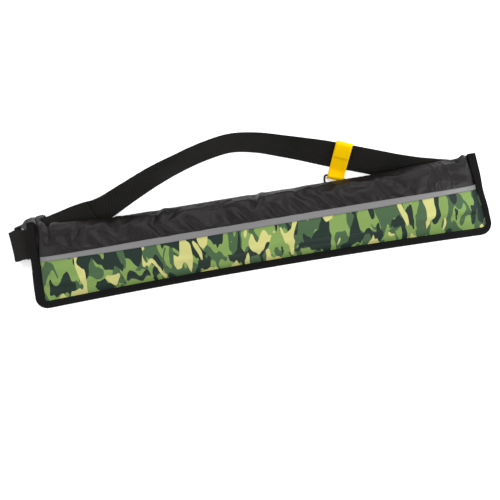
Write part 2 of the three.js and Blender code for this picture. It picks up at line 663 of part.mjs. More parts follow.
function ringTab() {
  const { tilt, lower } = tabStation;
  const cos = Math.cos(tilt);
  const sin = Math.sin(tilt);
  const onBelt = (up, face) => [up * cos - face * sin, lower.z + up * sin + face * cos];
  const slot = STRAP.thickness / 2 + TAB.room;
  const outside = slot + TAB.cloth;
  const top = STRAP.width + TAB.room;
  const tailTop = TAB.foot + 2 * TAB.cloth;
  const meet = Math.asin((tailTop - tunnelAt.y) / tunnelOuter);
  const outline = new THREE.Shape();
  outline.moveTo(...onBelt(-TAB.room - TAB.cloth, -outside));
  outline.lineTo(TAB.room / 2, TAB.foot);
  outline.lineTo(tunnelAt.x, TAB.foot);
  outline.absarc(tunnelAt.x, tunnelAt.y, tunnelOuter, -Math.PI / 2, meet - 2 * Math.PI, true);
  outline.lineTo(onBelt(-TAB.room, outside)[0] - tailTop / 2, tailTop);
  outline.lineTo(...onBelt(TAB.room, outside));
  outline.lineTo(...onBelt(top + 0.5 * TAB.cloth, outside));
  outline.lineTo(...onBelt(top + TAB.cloth, slot));
  outline.lineTo(...onBelt(top + TAB.cloth, -slot));
  outline.lineTo(...onBelt(top + 0.5 * TAB.cloth, -outside));
  outline.closePath();
  const beltSlot = new THREE.Path();
  beltSlot.moveTo(...onBelt(-TAB.room, -slot));
  beltSlot.lineTo(...onBelt(top, -slot));
  beltSlot.lineTo(...onBelt(top, slot));
  beltSlot.lineTo(...onBelt(-TAB.room, slot));
  beltSlot.closePath();
  const tunnel = new THREE.Path();
  tunnel.absarc(tunnelAt.x, tunnelAt.y, TAB.tunnelRadius, 0, 2 * Math.PI, false);
  outline.holes.push(beltSlot, tunnel);
  const geometry = new THREE.ExtrudeGeometry(outline, {
    depth: TAB.width,
    bevelEnabled: false,
    curveSegments: TAB.facets,
  });
  return geometry.translate(0, 0, -TAB.width / 2);
}

// The ring: a round wire along a D, its straight side in the tunnel and its bow on the surface.
function clipRing() {
  const { halfBar, corner, depth, wire, steps, sides } = RING;
  const line = new THREE.Path();
  line.moveTo(-halfBar, 0);
  line.lineTo(halfBar, 0);
  line.absarc(halfBar, -corner, corner, Math.PI / 2, 0, true);
  line.absellipse(0, -corner, halfBar + corner, depth, 0, -Math.PI, true);
  line.absarc(-halfBar, -corner, corner, Math.PI, Math.PI / 2, true);
  const points = line.getSpacedPoints(steps).slice(0, steps);
  const rings = points.map((point, i) => {
    const before = points[(i + steps - 1) % steps];
    const after = points[(i + 1) % steps];
    const way = after.clone().sub(before).normalize();
    return Array.from({ length: sides }, (_, j) => {
      const angle = (2 * Math.PI * j) / sides;
      const out = wire * Math.cos(angle);
      return v3(point.x - way.y * out, point.y + way.x * out, wire * Math.sin(angle));
    });
  });
  return skin(rings, { loop: true });
}

// Assembly.
function piece(name, geometry, material) {
  const mesh = new THREE.Mesh(geometry, material);
  mesh.name = name;
  return mesh;
}

const belt = new THREE.Group();
belt.add(
  piece("upper_panel", upperPanel(), MATERIALS.nylon),
  piece("camo_panel", camoPanel(), MATERIALS.print),
  piece("reflective_stripe", reflectiveStripe(), MATERIALS.reflective),
  piece("back_panel", backPanel(), MATERIALS.nylon),
  piece("edge_binding", edgeBinding(), MATERIALS.tape),
  piece("waist_strap", waistStrap(), MATERIALS.webbing),
  piece("buckle_stub", buckleStub(), MATERIALS.webbing),
);

const buckle = new THREE.Group();
buckle.position.copy(bar);
buckle.rotation.z = 2 * foldLean;
buckle.add(
  piece("buckle_socket", buckleSocket(), MATERIALS.plastic),
  piece("buckle_plug", bucklePlug(), MATERIALS.plastic),
);
belt.add(buckle);

// The tab's frame: X out from the belt, Y up, Z along the belt.
const tabFrame = new THREE.Group();
const tabBasis = new THREE.Matrix4();
const up = v3(0, 0, 1);
tabBasis.makeBasis(tabStation.outwards, up, tabStation.outwards.clone().cross(up));
tabFrame.quaternion.setFromRotationMatrix(tabBasis);
tabFrame.rotateY(radians(TAB.yaw));
tabFrame.position.set(tabStation.lower.x, tabStation.lower.y, 0);
tabFrame.add(piece("ring_tab", ringTab(), MATERIALS.yellow));

// The ring's frame: X along the bar, and its bow, on -Y, tilted down until the wire meets the surface.
const ringFrame = new THREE.Group();
const ringTilt = Math.asin((tunnelAt.y - RING.wire - TAB.foot) / (RING.corner + RING.depth));
const bowWay = v3(Math.cos(ringTilt), Math.sin(ringTilt), 0);
const barWay = v3(0, 0, 1);
const ringBasis = new THREE.Matrix4();
ringBasis.makeBasis(barWay, bowWay, barWay.clone().cross(bowWay));
ringFrame.quaternion.setFromRotationMatrix(ringBasis);
ringFrame.position.set(tunnelAt.x, tunnelAt.y, 0);
ringFrame.add(piece("clip_ring", clipRing(), MATERIALS.plastic));
tabFrame.add(ringFrame);
belt.add(tabFrame);

// The part's origin: on the surface, under the middle of the whole belt.
const lifeBelt = new THREE.Group();
lifeBelt.add(belt);
const box = new THREE.Box3().setFromObject(lifeBelt, true);
belt.position.set(-(box.min.x + box.max.x) / 2, -(box.min.y + box.max.y) / 2, -box.min.z);

export default lifeBelt;
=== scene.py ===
# %% [markdown]
# # An inflatable life belt, lying on its back
# The belt is a long soft pouch on a buckled webbing belt. The CAD part gives the fixed frame: where each
# piece is and how large it is. Here each piece gets its cloth, thread and plastic. Every length below is
# in millimetres, in the pouch's own frame, and is turned into metres only when a mesh is made.

# %% Load the frame
import math
from collections import namedtuple

import bmesh
import bpy
import numpy as np
from mathutils import Matrix, Vector


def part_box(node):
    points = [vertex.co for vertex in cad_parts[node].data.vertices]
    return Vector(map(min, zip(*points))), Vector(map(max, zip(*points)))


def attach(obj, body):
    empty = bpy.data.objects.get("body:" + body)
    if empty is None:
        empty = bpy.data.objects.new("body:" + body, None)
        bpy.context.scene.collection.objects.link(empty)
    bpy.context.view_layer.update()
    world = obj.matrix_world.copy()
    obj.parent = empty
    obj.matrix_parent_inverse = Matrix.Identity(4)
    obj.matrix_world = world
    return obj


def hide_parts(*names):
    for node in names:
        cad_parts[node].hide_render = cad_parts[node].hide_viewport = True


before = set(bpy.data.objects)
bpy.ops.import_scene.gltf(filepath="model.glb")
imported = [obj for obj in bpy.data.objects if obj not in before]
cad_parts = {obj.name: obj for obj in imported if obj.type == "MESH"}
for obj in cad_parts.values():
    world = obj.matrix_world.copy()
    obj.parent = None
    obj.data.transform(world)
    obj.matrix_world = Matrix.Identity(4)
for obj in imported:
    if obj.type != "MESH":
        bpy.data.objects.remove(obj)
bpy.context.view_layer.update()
print("CAD pieces:", ", ".join(sorted(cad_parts)))

# %% [markdown]
# The pouch's frame has X along the pouch with its middle at zero, and Y from the bound edge to the top
# fold. The binding runs round three sides of the pouch, so its box tells where that frame is.

# %% The pouch's frame
MM = 0.001
HALF_LENGTH = 300
EDGE_BOW = 5
CORNER_RADIUS = 17
CORNER_X = HALF_LENGTH - CORNER_RADIUS
LEFT, RIGHT = -1, 1
END_FLARE = {LEFT: 2.7, RIGHT: 4.2}
binding_low, binding_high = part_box("edge_binding")
EDGE_DROP = EDGE_BOW * (CORNER_X / HALF_LENGTH) ** 2
middle_x = (binding_low.x + binding_high.x - (END_FLARE[RIGHT] - END_FLARE[LEFT]) * MM) / 2
ORIGIN = Vector((middle_x, binding_low.y + EDGE_DROP * MM, 0))
print("pouch frame at", [round(c / MM, 2) for c in ORIGIN], "mm")


def to_metres(point):
    """A point of the pouch's frame, in millimetres, as a point of the CAD frame, in metres."""
    return ORIGIN + Vector(point) * MM


# %% [markdown]
# Most cloth here is made the same way. It could be sculpted, or cut from the CAD solids, but then a
# weave would not know how the cloth runs. So each piece starts as a flat grid of squares, like cloth on
# a cutting table, and its corners are moved to where the sewn cloth lies. The grid keeps its flat size
# as a UV map, in metres, so a weave or a print follows the cloth. Solidify gives the cloth its
# thickness.

# %% Cloth from a flat grid
def cloth_from_grid(name, places, flat_u, flat_v, held=None):
    """A sheet whose corner in column i and row j lies at places[i][j], with its flat sizes as the UV map.

    held gives, for each corner, how firmly it is kept in its place when the cloth settles.
    """
    columns = len(places) - 1
    rows = len(places[0]) - 1
    mesh = bmesh.new()
    bmesh.ops.create_grid(mesh, x_segments=columns, y_segments=rows, size=0.5)
    flat = mesh.loops.layers.uv.new("flat")
    weights = mesh.verts.layers.deform.verify()
    for face in mesh.faces:
        for loop in face.loops:
            i = round((loop.vert.co.x + 0.5) * columns)
            j = round((loop.vert.co.y + 0.5) * rows)
            loop[flat].uv = (flat_u[i] * MM, flat_v[j] * MM)
    for vert in mesh.verts:
        i = round((vert.co.x + 0.5) * columns)
        j = round((vert.co.y + 0.5) * rows)
        vert.co = to_metres(places[i][j])
        if held is not None:
            vert[weights][0] = held[i][j]
    return finished(name, mesh)


def finished(name, mesh):
    """A bmesh as an object with smooth faces, at the origin."""
    data = bpy.data.meshes.new(name)
    mesh.to_mesh(data)
    mesh.free()
    data.shade_smooth()
    piece = bpy.data.objects.new(name, data)
    bpy.context.scene.collection.objects.link(piece)
    return piece


def thicken(piece, thickness, offset):
    """Thickness for a sheet: offset -1 puts it under the sheet, 0 on both sides of it."""
    wall = piece.modifiers.new("thickness", "SOLIDIFY")
    wall.thickness = thickness * MM
    wall.offset = offset
    wall.use_even_offset = True


def dress(piece, material, slot, *nodes):
    """Finish, CAD body and the CAD nodes that the piece stands for; the slot argument is not used."""
    piece.data.materials.append(material)
    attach(piece, "root")
    if nodes:
        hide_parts(*nodes)
    print(piece.name, "has", len(piece.data.polygons), "faces")
    return piece


# %% [markdown]
# The finishes are shader nodes. Nodes can be placed by hand in the editor; in a script a few short
# helpers place them, so that each finish further down reads as a list of what it is made of. An effect
# that several finishes share is a node group, built once and placed in each of them with its own values.

# %% Node helpers
def add_node(tree, kind, **options):
    """A node with its options set."""
    node = tree.nodes.new(kind)
    for option, value in options.items():
        setattr(node, option, value)
    return node


def math_node(tree, operation, *values):
    """A Math node on values or sockets; gives its output."""
    node = add_node(tree, "ShaderNodeMath", operation=operation)
    for place, value in enumerate(values):
        if isinstance(value, (int, float)):
            node.inputs[place].default_value = value
        else:
            tree.links.new(value, node.inputs[place])
    return node.outputs[0]


def new_group(name, inputs, outputs):
    """An empty node group with float or vector sockets; gives the tree and its two ends."""
    tree = bpy.data.node_groups.new(name, "ShaderNodeTree")
    kinds = {"value": "NodeSocketFloat", "vector": "NodeSocketVector"}
    for socket, kind in inputs:
        tree.interface.new_socket(socket, in_out="INPUT", socket_type=kinds[kind])
    for socket, kind in outputs:
        tree.interface.new_socket(socket, in_out="OUTPUT", socket_type=kinds[kind])
    start = tree.nodes.new("NodeGroupInput")
    end = tree.nodes.new("NodeGroupOutput")
    return tree, start, end


# %% [markdown]
# The pouch's cloth is a plain weave: threads over and under each other. A picture of cloth could be
# wrapped on, but it would blur close up and repeat. Two sine waves on the flat cloth draw the threads at
# any size. The group gives a height for the bump, and a shade that is lighter on one set of threads than
# on the other.

# %% Plain weave
FULL_TURN = 2 * math.pi


def plain_weave_group():
    tree, start, end = new_group(
        "plain weave",
        [("Flat", "vector"), ("Threads per metre", "value")],
        [("Height", "value"), ("Shade", "value")],
    )
    flat = add_node(tree, "ShaderNodeSeparateXYZ")
    tree.links.new(start.outputs["Flat"], flat.inputs[0])
    turns = math_node(tree, "MULTIPLY", start.outputs["Threads per metre"], math.pi)
    warp = math_node(tree, "SINE", math_node(tree, "MULTIPLY", flat.outputs["X"], turns))
    weft = math_node(tree, "SINE", math_node(tree, "MULTIPLY", flat.outputs["Y"], turns))
    over = math_node(tree, "MULTIPLY", warp, weft)
    height = math_node(tree, "ABSOLUTE", over)
    tree.links.new(math_node(tree, "POWER", height, 0.5), end.inputs["Height"])
    tree.links.new(math_node(tree, "MULTIPLY_ADD", over, 0.5, 0.5), end.inputs["Shade"])
    return tree


PLAIN_WEAVE = plain_weave_group()
print("group:", PLAIN_WEAVE.name)

# %% [markdown]
# Webbing is woven in steep ribs. They could be modelled as ridges, but there are hundreds of them and
# each is only one or two millimetres wide, so a bump is enough. One sine wave that runs slantwise over
# the flat strip gives the ribs, and a weaker one across the strip breaks them into picks. The shade
# follows the same height, so it is painted shade: darker in the grooves between the ribs.

# %% Webbing ribs
PICK_SHARE = 0.35


def webbing_ribs_group():
    tree, start, end = new_group(
        "webbing ribs",
        [("Flat", "vector"), ("Ribs per metre", "value"), ("Slant", "value")],
        [("Height", "value"), ("Shade", "value")],
    )
    flat = add_node(tree, "ShaderNodeSeparateXYZ")
    tree.links.new(start.outputs["Flat"], flat.inputs[0])
    turns = math_node(tree, "MULTIPLY", start.outputs["Ribs per metre"], FULL_TURN)
    slanted = math_node(tree, "MULTIPLY", flat.outputs["Y"], start.outputs["Slant"])
    along = math_node(tree, "ADD", flat.outputs["X"], slanted)
    rib = math_node(tree, "SINE", math_node(tree, "MULTIPLY", along, turns))
    pick = math_node(tree, "SINE", math_node(tree, "MULTIPLY", flat.outputs["Y"], turns))
    height = math_node(tree, "ADD", rib, math_node(tree, "MULTIPLY", pick, PICK_SHARE))
    tree.links.new(height, end.inputs["Height"])
    # Painted shade: the colour follows the height, darker in the grooves and lighter on the crests.
    tree.links.new(math_node(tree, "MULTIPLY_ADD", height, 0.5, 0.5), end.inputs["Shade"])
    return tree


WEBBING_RIBS = webbing_ribs_group()
print("group:", WEBBING_RIBS.name)

# %% [markdown]
# Worn cloth and plastic are never one even colour. Spots could be painted one by one, but noise gives
# them without a seam on any piece. A broad and a fine noise, read at the piece's own place, make a soft
# mottle, and each finish says how strong it is.

# %% Mottle
GRAINS_PER_PATCH = 24


def mottle_group():
    tree, start, end = new_group(
        "mottle",
        [("Place", "vector"), ("Patches per metre", "value")],
        [("Patch", "value"), ("Grain", "value")],
    )
    broad = add_node(tree, "ShaderNodeTexNoise", noise_dimensions="3D")
    broad.inputs["Detail"].default_value = 3
    tree.links.new(start.outputs["Place"], broad.inputs["Vector"])
    tree.links.new(start.outputs["Patches per metre"], broad.inputs["Scale"])
    fine = add_node(tree, "ShaderNodeTexNoise", noise_dimensions="3D")
    fine.inputs["Detail"].default_value = 2
    tree.links.new(start.outputs["Place"], fine.inputs["Vector"])
    fine_scale = math_node(tree, "MULTIPLY", start.outputs["Patches per metre"], GRAINS_PER_PATCH)
    tree.links.new(fine_scale, fine.inputs["Scale"])
    tree.links.new(broad.outputs["Fac"], end.inputs["Patch"])
    tree.links.new(fine.outputs["Fac"], end.inputs["Grain"])
    return tree


MOTTLE = mottle_group()
print("group:", MOTTLE.name)

# %% [markdown]
# Thin coated cloth keeps small creases from being packed and handled. They are too low to be worth
# modelling, and a ridged noise draws such lines. It is stretched, because most of them run along the
# pouch. Used as a bump, it breaks up the light between the modelled folds.

# %% Crumple
CREASE_STRETCH = (0.35, 1, 1)


def crumple_group():
    tree, start, end = new_group(
        "crumple",
        [("Place", "vector"), ("Creases per metre", "value")],
        [("Height", "value")],
    )
    ridges = add_node(
        tree, "ShaderNodeTexNoise", noise_dimensions="3D", noise_type="RIDGED_MULTIFRACTAL", normalize=True
    )
    ridges.inputs["Detail"].default_value = 2
    ridges.inputs["Roughness"].default_value = 0.4
    stretched = add_node(tree, "ShaderNodeVectorMath", operation="MULTIPLY")
    stretched.inputs[1].default_value = CREASE_STRETCH
    tree.links.new(start.outputs["Place"], stretched.inputs[0])
    tree.links.new(stretched.outputs[0], ridges.inputs["Vector"])
    tree.links.new(start.outputs["Creases per metre"], ridges.inputs["Scale"])
    tree.links.new(ridges.outputs["Fac"], end.inputs["Height"])
    return tree


CRUMPLE = crumple_group()
print("group:", CRUMPLE.name)


# %% [markdown]
# Each finish is one Principled shader. Its constant values are set on the shader's own sockets, where
# they stay with the material wherever it goes. Only what changes over the surface comes through the
# groups.

# %% One shader and its parts
def linear(red, green, blue):
    """A screen colour, 0 to 255, as the linear colour that a shader takes."""
    values = [channel / 255 for channel in (red, green, blue)]
    return tuple(v / 12.92 if v <= 0.04045 else ((v + 0.055) / 1.055) ** 2.4 for v in values) + (1,)


def new_finish(name, roughness, gloss):
    """A material with one shader: how rough it is, and how strongly it mirrors light."""
    material = bpy.data.materials.new(name)
    material.use_nodes = True
    tree = material.node_tree
    shader = tree.nodes["Principled BSDF"]
    shader.inputs["Roughness"].default_value = roughness
    shader.inputs["Specular IOR Level"].default_value = gloss
    return material, tree, shader


def place_group(tree, group, coordinates, **values):
    """A shared group in a material, reading the piece's coordinates, with its own values."""
    node = add_node(tree, "ShaderNodeGroup", node_tree=group)
    tree.links.new(coordinates, node.inputs[0])
    for socket, value in values.items():
        node.inputs[socket.replace("_", " ")].default_value = value
    return node


def flat_coordinates(tree):
    """Where the cloth lies when it is flat, in metres."""
    return add_node(tree, "ShaderNodeUVMap", uv_map="flat").outputs["UV"]


def object_coordinates(tree):
    """Where the surface is, in metres."""
    return add_node(tree, "ShaderNodeTexCoord").outputs["Object"]


def mixed(tree, factor, first, second, blend="MIX"):
    """A colour mix; each side is a colour or a socket."""
    node = add_node(tree, "ShaderNodeMix", data_type="RGBA", blend_type=blend)
    for socket, value in ((node.inputs[0], factor), (node.inputs[6], first), (node.inputs[7], second)):
        if isinstance(value, (int, float, tuple)):
            socket.default_value = value
        else:
            tree.links.new(value, socket)
    return node.outputs[2]


def bumped(tree, height, millimetres, under=None):
    """A normal with a bump of this height, laid over the bump under it, if there is one."""
    bump = add_node(tree, "ShaderNodeBump")
    bump.inputs["Distance"].default_value = millimetres * MM
    tree.links.new(height, bump.inputs["Height"])
    if under is not None:
        tree.links.new(under, bump.inputs["Normal"])
    return bump.outputs["Normal"]


def shade_of(tree, pattern, spots):
    """A pattern's own shade, made lighter and darker in patches."""
    patch = math_node(tree, "SUBTRACT", spots.outputs["Patch"], 0.5)
    return math_node(tree, "ADD", pattern.outputs["Shade"], patch)


# %% [markdown]
# Woven and ribbed finishes go from a dark to a light colour: the pattern's shade picks between them, and
# the mottle makes the pick lighter or darker in patches. That gives thread and wear at once, where two
# colours laid on each other would look printed. On ribbed finishes the pattern's shade is painted shade,
# darker in the grooves between the ribs. Moulded plastic has the mottle in its gloss, as handling leaves it.

# %% Woven, ribbed and moulded finishes
CREASES = 24
MOULD_WEAR = {"share": 0.3, "from": -0.15, "bump": 0.02}


def woven_finish(name, dark, light, roughness, gloss, threads, bump, crumple=None):
    """Plain woven cloth between two colours, mottled, with its weave and any creases as bumps."""
    material, tree, shader = new_finish(name, roughness, gloss)
    weave = place_group(tree, PLAIN_WEAVE, flat_coordinates(tree), Threads_per_metre=threads)
    spots = place_group(tree, MOTTLE, object_coordinates(tree), Patches_per_metre=14)
    tree.links.new(mixed(tree, shade_of(tree, weave, spots), dark, light), shader.inputs["Base Color"])
    creased = None
    if crumple is not None:
        creases = place_group(tree, CRUMPLE, object_coordinates(tree), Creases_per_metre=CREASES)
        creased = bumped(tree, creases.outputs["Height"], crumple)
    tree.links.new(bumped(tree, weave.outputs["Height"], bump, creased), shader.inputs["Normal"])
    return material


def ribbed_finish(name, dark, light, roughness, gloss, ribs, slant, bump):
    """Ribbed webbing or tape between two colours, mottled, with its ribs as a bump and painted shade in
    their grooves.
    """
    material, tree, shader = new_finish(name, roughness, gloss)
    rib = place_group(tree, WEBBING_RIBS, flat_coordinates(tree), Ribs_per_metre=ribs, Slant=slant)
    spots = place_group(tree, MOTTLE, object_coordinates(tree), Patches_per_metre=20)
    tree.links.new(mixed(tree, shade_of(tree, rib, spots), dark, light), shader.inputs["Base Color"])
    tree.links.new(bumped(tree, rib.outputs["Height"], bump), shader.inputs["Normal"])
    return material


def moulded_finish(name, dark, light, roughness, gloss):
    """Moulded plastic between two colours, with a faint mottle in its gloss."""
    material, tree, shader = new_finish(name, roughness, gloss)
    spots = place_group(tree, MOTTLE, object_coordinates(tree), Patches_per_metre=60)
    tree.links.new(mixed(tree, spots.outputs["Patch"], dark, light), shader.inputs["Base Color"])
    worn = math_node(tree, "MULTIPLY", spots.outputs["Grain"], MOULD_WEAR["share"])
    rough = math_node(tree, "ADD", worn, roughness + MOULD_WEAR["from"])
    tree.links.new(rough, shader.inputs["Roughness"])
    tree.links.new(bumped(tree, spots.outputs["Grain"], MOULD_WEAR["bump"]), shader.inputs["Normal"])
    return material


# %% Black cloth, tape, webbing and plastic
nylon = woven_finish(
    "black_nylon",
    linear(13, 10, 10),
    linear(23, 19, 19),
    roughness=0.44,
    gloss=0.21,
    threads=1400,
    bump=0.06,
    crumple=0.4,
)
tape = ribbed_finish(
    "black_tape",
    linear(11, 11, 11),
    linear(24, 23, 23),
    roughness=0.7,
    gloss=0.06,
    ribs=700,
    slant=0.0,
    bump=0.1,
)
webbing = ribbed_finish(
    "black_webbing",
    linear(16, 16, 15),
    linear(41, 40, 39),
    roughness=0.7,
    gloss=0.03,
    ribs=420,
    slant=0.6,
    bump=0.15,
)
plastic = moulded_finish(
    "black_acetal",
    linear(18, 18, 18),
    linear(34, 34, 34),
    roughness=0.28,
    gloss=0.9,
)
ring_plastic = moulded_finish(
    "black_ring_plastic",
    linear(5, 5, 5),
    linear(11, 11, 11),
    roughness=0.45,
    gloss=0.25,
)

# %% Yellow webbing, grey tape and threads
yellow = ribbed_finish(
    "tab_webbing",
    linear(234, 182, 1),
    linear(248, 206, 3),
    roughness=0.7,
    gloss=0.02,
    ribs=600,
    slant=0.3,
    bump=0.06,
)
reflective = woven_finish(
    "reflective_tape",
    linear(102, 101, 102),
    linear(118, 117, 118),
    roughness=0.4,
    gloss=0.3,
    threads=900,
    bump=0.03,
)


def thread_finish(name, dark, light, gloss):
    """Sewing thread: a very fine weave."""
    return woven_finish(name, dark, light, roughness=0.6, gloss=gloss, threads=4000, bump=0.03)


grey_thread = thread_finish("grey_thread", linear(96, 94, 97), linear(120, 118, 121), gloss=0.1)
black_thread = thread_finish("black_thread", linear(8, 8, 8), linear(24, 24, 24), gloss=0.2)
yellow_thread = thread_finish("yellow_thread", linear(206, 150, 0), linear(236, 186, 4), gloss=0.1)
print("finishes:", ", ".join(material.name for material in bpy.data.materials))

# %% [markdown]
# The printed cloth is a common woodland camouflage: upright blobs in four colours, with crisp edges and
# drips at their ends. A tile could be drawn and repeated, but noise never repeats and needs no picture.
# Each colour is a stretched noise cut at a level, laid over the last as screens are in printing. The
# drips come from shifting each place up or down by a noise that changes only along the cloth.

# %% Camouflage print
Ink = namedtuple("Ink", "name colour across_per_metre up_per_metre level shift")
PRINT_INKS = (
    Ink("mid_green", linear(62, 86, 58), 50, 26, 0.5, 0.0),
    Ink("dark_green", linear(27, 41, 35), 48, 25, 0.56, 3.7),
    Ink("pale", linear(180, 178, 112), 50, 23, 0.62, 9.4),
)
PRINT_GROUND = linear(112, 138, 74)
DRIP = {"per_metre": 75, "reach": 0.007, "from": 0.38, "to": 0.62}
BLOB = {"detail": 0.9, "distortion": 0.5}
FADE = {"from": 0.86, "to": 1.08}
PRINT_BUMPS = {"creases": 0.3, "weave": 0.05}


def dripped(tree, flat, shift):
    """The flat place, moved up or down by a noise along the cloth."""
    apart = add_node(tree, "ShaderNodeSeparateXYZ")
    tree.links.new(flat, apart.inputs[0])
    run = add_node(tree, "ShaderNodeTexNoise", noise_dimensions="1D")
    run.inputs["Scale"].default_value = DRIP["per_metre"]
    run.inputs["Detail"].default_value = 0
    tree.links.new(math_node(tree, "ADD", apart.outputs["X"], shift), run.inputs["W"])
    finger = add_node(tree, "ShaderNodeMapRange", interpolation_type="SMOOTHSTEP")
    finger.inputs["From Min"].default_value = DRIP["from"]
    finger.inputs["From Max"].default_value = DRIP["to"]
    tree.links.new(run.outputs["Fac"], finger.inputs["Value"])
    drop = math_node(tree, "MULTIPLY_ADD", finger.outputs[0], DRIP["reach"], apart.outputs["Y"])
    together = add_node(tree, "ShaderNodeCombineXYZ")
    tree.links.new(apart.outputs["X"], together.inputs["X"])
    tree.links.new(drop, together.inputs["Y"])
    return together.outputs[0]


def ink_mask(tree, flat, ink):
    """Where one ink is printed: 1 inside its blobs."""
    place = add_node(tree, "ShaderNodeMapping", name=ink.name)
    place.inputs["Location"].default_value = (ink.shift, ink.shift, 0)
    place.inputs["Scale"].default_value = (ink.across_per_metre, ink.up_per_metre, 1)
    tree.links.new(dripped(tree, flat, ink.shift), place.inputs["Vector"])
    blob = add_node(tree, "ShaderNodeTexNoise", noise_dimensions="2D")
    blob.inputs["Scale"].default_value = 1
    blob.inputs["Detail"].default_value = BLOB["detail"]
    blob.inputs["Distortion"].default_value = BLOB["distortion"]
    tree.links.new(place.outputs[0], blob.inputs["Vector"])
    return math_node(tree, "GREATER_THAN", blob.outputs["Fac"], ink.level)


def print_finish():
    """The printed cloth: its inks, faded in patches, with its weave and creases as bumps."""
    material, tree, shader = new_finish("camouflage_print", roughness=0.6, gloss=0.15)
    flat = flat_coordinates(tree)
    colour = PRINT_GROUND
    for ink in PRINT_INKS:
        colour = mixed(tree, ink_mask(tree, flat, ink), colour, ink.colour)
    weave = place_group(tree, PLAIN_WEAVE, flat, Threads_per_metre=1100)
    spots = place_group(tree, MOTTLE, object_coordinates(tree), Patches_per_metre=10)
    faded = add_node(tree, "ShaderNodeMapRange")
    faded.inputs["To Min"].default_value = FADE["from"]
    faded.inputs["To Max"].default_value = FADE["to"]
    tree.links.new(spots.outputs["Patch"], faded.inputs["Value"])
    tree.links.new(mixed(tree, 1.0, colour, faded.outputs[0], "MULTIPLY"), shader.inputs["Base Color"])
    creases = place_group(tree, CRUMPLE, object_coordinates(tree), Creases_per_metre=CREASES)
    creased = bumped(tree, creases.outputs["Height"], PRINT_BUMPS["creases"])
    woven = bumped(tree, weave.outputs["Height"], PRINT_BUMPS["weave"], creased)
    tree.links.new(woven, shader.inputs["Normal"])
    return material


camouflage = print_finish()
print("finish:", camouflage.name, "in", len(PRINT_INKS) + 1, "colours")

# %% [markdown]
# The pouch is cloth round a soft filling: full in the middle, and sewn flat at both ends. Four separate
# shapes could be fitted to each other, but their seams would gape. So the pouch is one section, drawn
# out along X, and the panels are cut from it. The rows of the section are those of the CAD part, so the
# cloth lies where its collision is.

# %% The pouch's section
CLOTH = 1.2
LAYER = 1.4
EAR_Y = {LEFT: 107.4, RIGHT: 102.5}
SEAM_Z = 2.7
PINCH_X = 288
PANEL_X = 298.2
FLANGE_WIDTH = 8.6
CLOTH_INSET = 1.7
FULLNESS = {"flatness": 5, "roundness": 0.55}
Lift = namedtuple("Lift", "seam_rise back_rise full_at starts_at")
CORNER_LIFTS = {LEFT: Lift(16.3, 15, 243, 185), RIGHT: Lift(15.3, 15, 225, 150)}
LIFT_Y = {"starts_at": 14, "full_at": 80}
FLARE = {"starts_x": 200, "full_below_y": 25, "gone_at_y": 60}
Row = namedtuple("Row", "point y z flat_y layer in_y in_z")
FLANGE = "flange"
EAR = "ear"
SECTION = (
    Row("front_edge", 0, FLANGE, 0, 1, 0, -1),
    Row("front_lip", FLANGE_WIDTH, FLANGE, 0, 1, 0, -1),
    Row("lower_crease", 18.5, 26, 26, 1, 0.6, -0.8),
    Row("camo_belly", 33, 36.5, 42, 1, 0.2, -1),
    Row("stripe_seam", 50, 41, 58, 1, 0, -1),
    Row("upper_belly", 66, 42, 74, 1, 0, -1),
    Row("top_crease", 82, 38, 91, 1, -0.5, -0.9),
    Row("top_fold", 96.5, 22, EAR, 0, -1, 0),
    Row("under_fold", 92, 9, 94, -1, -0.8, 0.6),
    Row("back_seam", 83, 2.2, 88, -1, 0, 1),
    Row("rest_top", 73, 0, 78, -1, 0, 1),
    Row("rest_bottom", 24, 0, 28, -1, 0, 1),
    Row("back_lip", FLANGE_WIDTH, FLANGE, 0, -1, 0, 1),
    Row("back_edge", 0, FLANGE, 0, -1, 0, 1),
)
ROW = {row.point: place for place, row in enumerate(SECTION)}
LAST_ROW = len(SECTION) - 1
print("section of", len(SECTION), "rows")


# %% Steps, bells and mixes
def smooth(value, start, end):
    """From 0 at the start to 1 at the end, easing in and out."""
    share = np.clip((value - start) / (end - start), 0, 1)
    return share * share * (3 - 2 * share)


def bell(distance, width):
    """1 at no distance, falling off on both sides."""
    return np.exp(-((distance / width) ** 2))


def mix(first, second, share):
    """The first value at share 0, the second at share 1."""
    return first + (second - first) * share


def side_of(x):
    """The end of the pouch that x is nearer to."""
    return LEFT if x < 0 else RIGHT


# %% The section at a place along the pouch
def fullness(x):
    """1 where the pouch is full, 0 where its faces are sewn together."""
    along = min(abs(x) / PINCH_X, 1)
    return (1 - along ** FULLNESS["flatness"]) ** FULLNESS["roundness"]


def corner_lift(x, y, rise):
    """How far an upper corner of the pouch is lifted off the surface."""
    lift = CORNER_LIFTS[side_of(x)]
    across = smooth(y, LIFT_Y["starts_at"], LIFT_Y["full_at"])
    return getattr(lift, rise) * across * smooth(abs(x), lift.starts_at, lift.full_at)


def seam_z(x, y):
    """The height of the sewn edge."""
    return SEAM_Z + corner_lift(x, y, "seam_rise")


def end_flare(x, y):
    """How far an end of the pouch reaches further out towards its bound edge."""
    side = side_of(x)
    below = 1 - smooth(y, FLARE["full_below_y"], FLARE["gone_at_y"])
    return side * END_FLARE[side] * below * smooth(abs(x), FLARE["starts_x"], PINCH_X)


def bound_edge_y(x, inset):
    """The bowed lower edge with its round corners, moved in by an inset."""
    bow = -EDGE_BOW * (min(abs(x), CORNER_X) / HALF_LENGTH) ** 2
    past = max(abs(x) - CORNER_X, 0)
    radius = CORNER_RADIUS - inset
    return bow + CORNER_RADIUS - math.sqrt(max(radius**2 - past**2, 0))


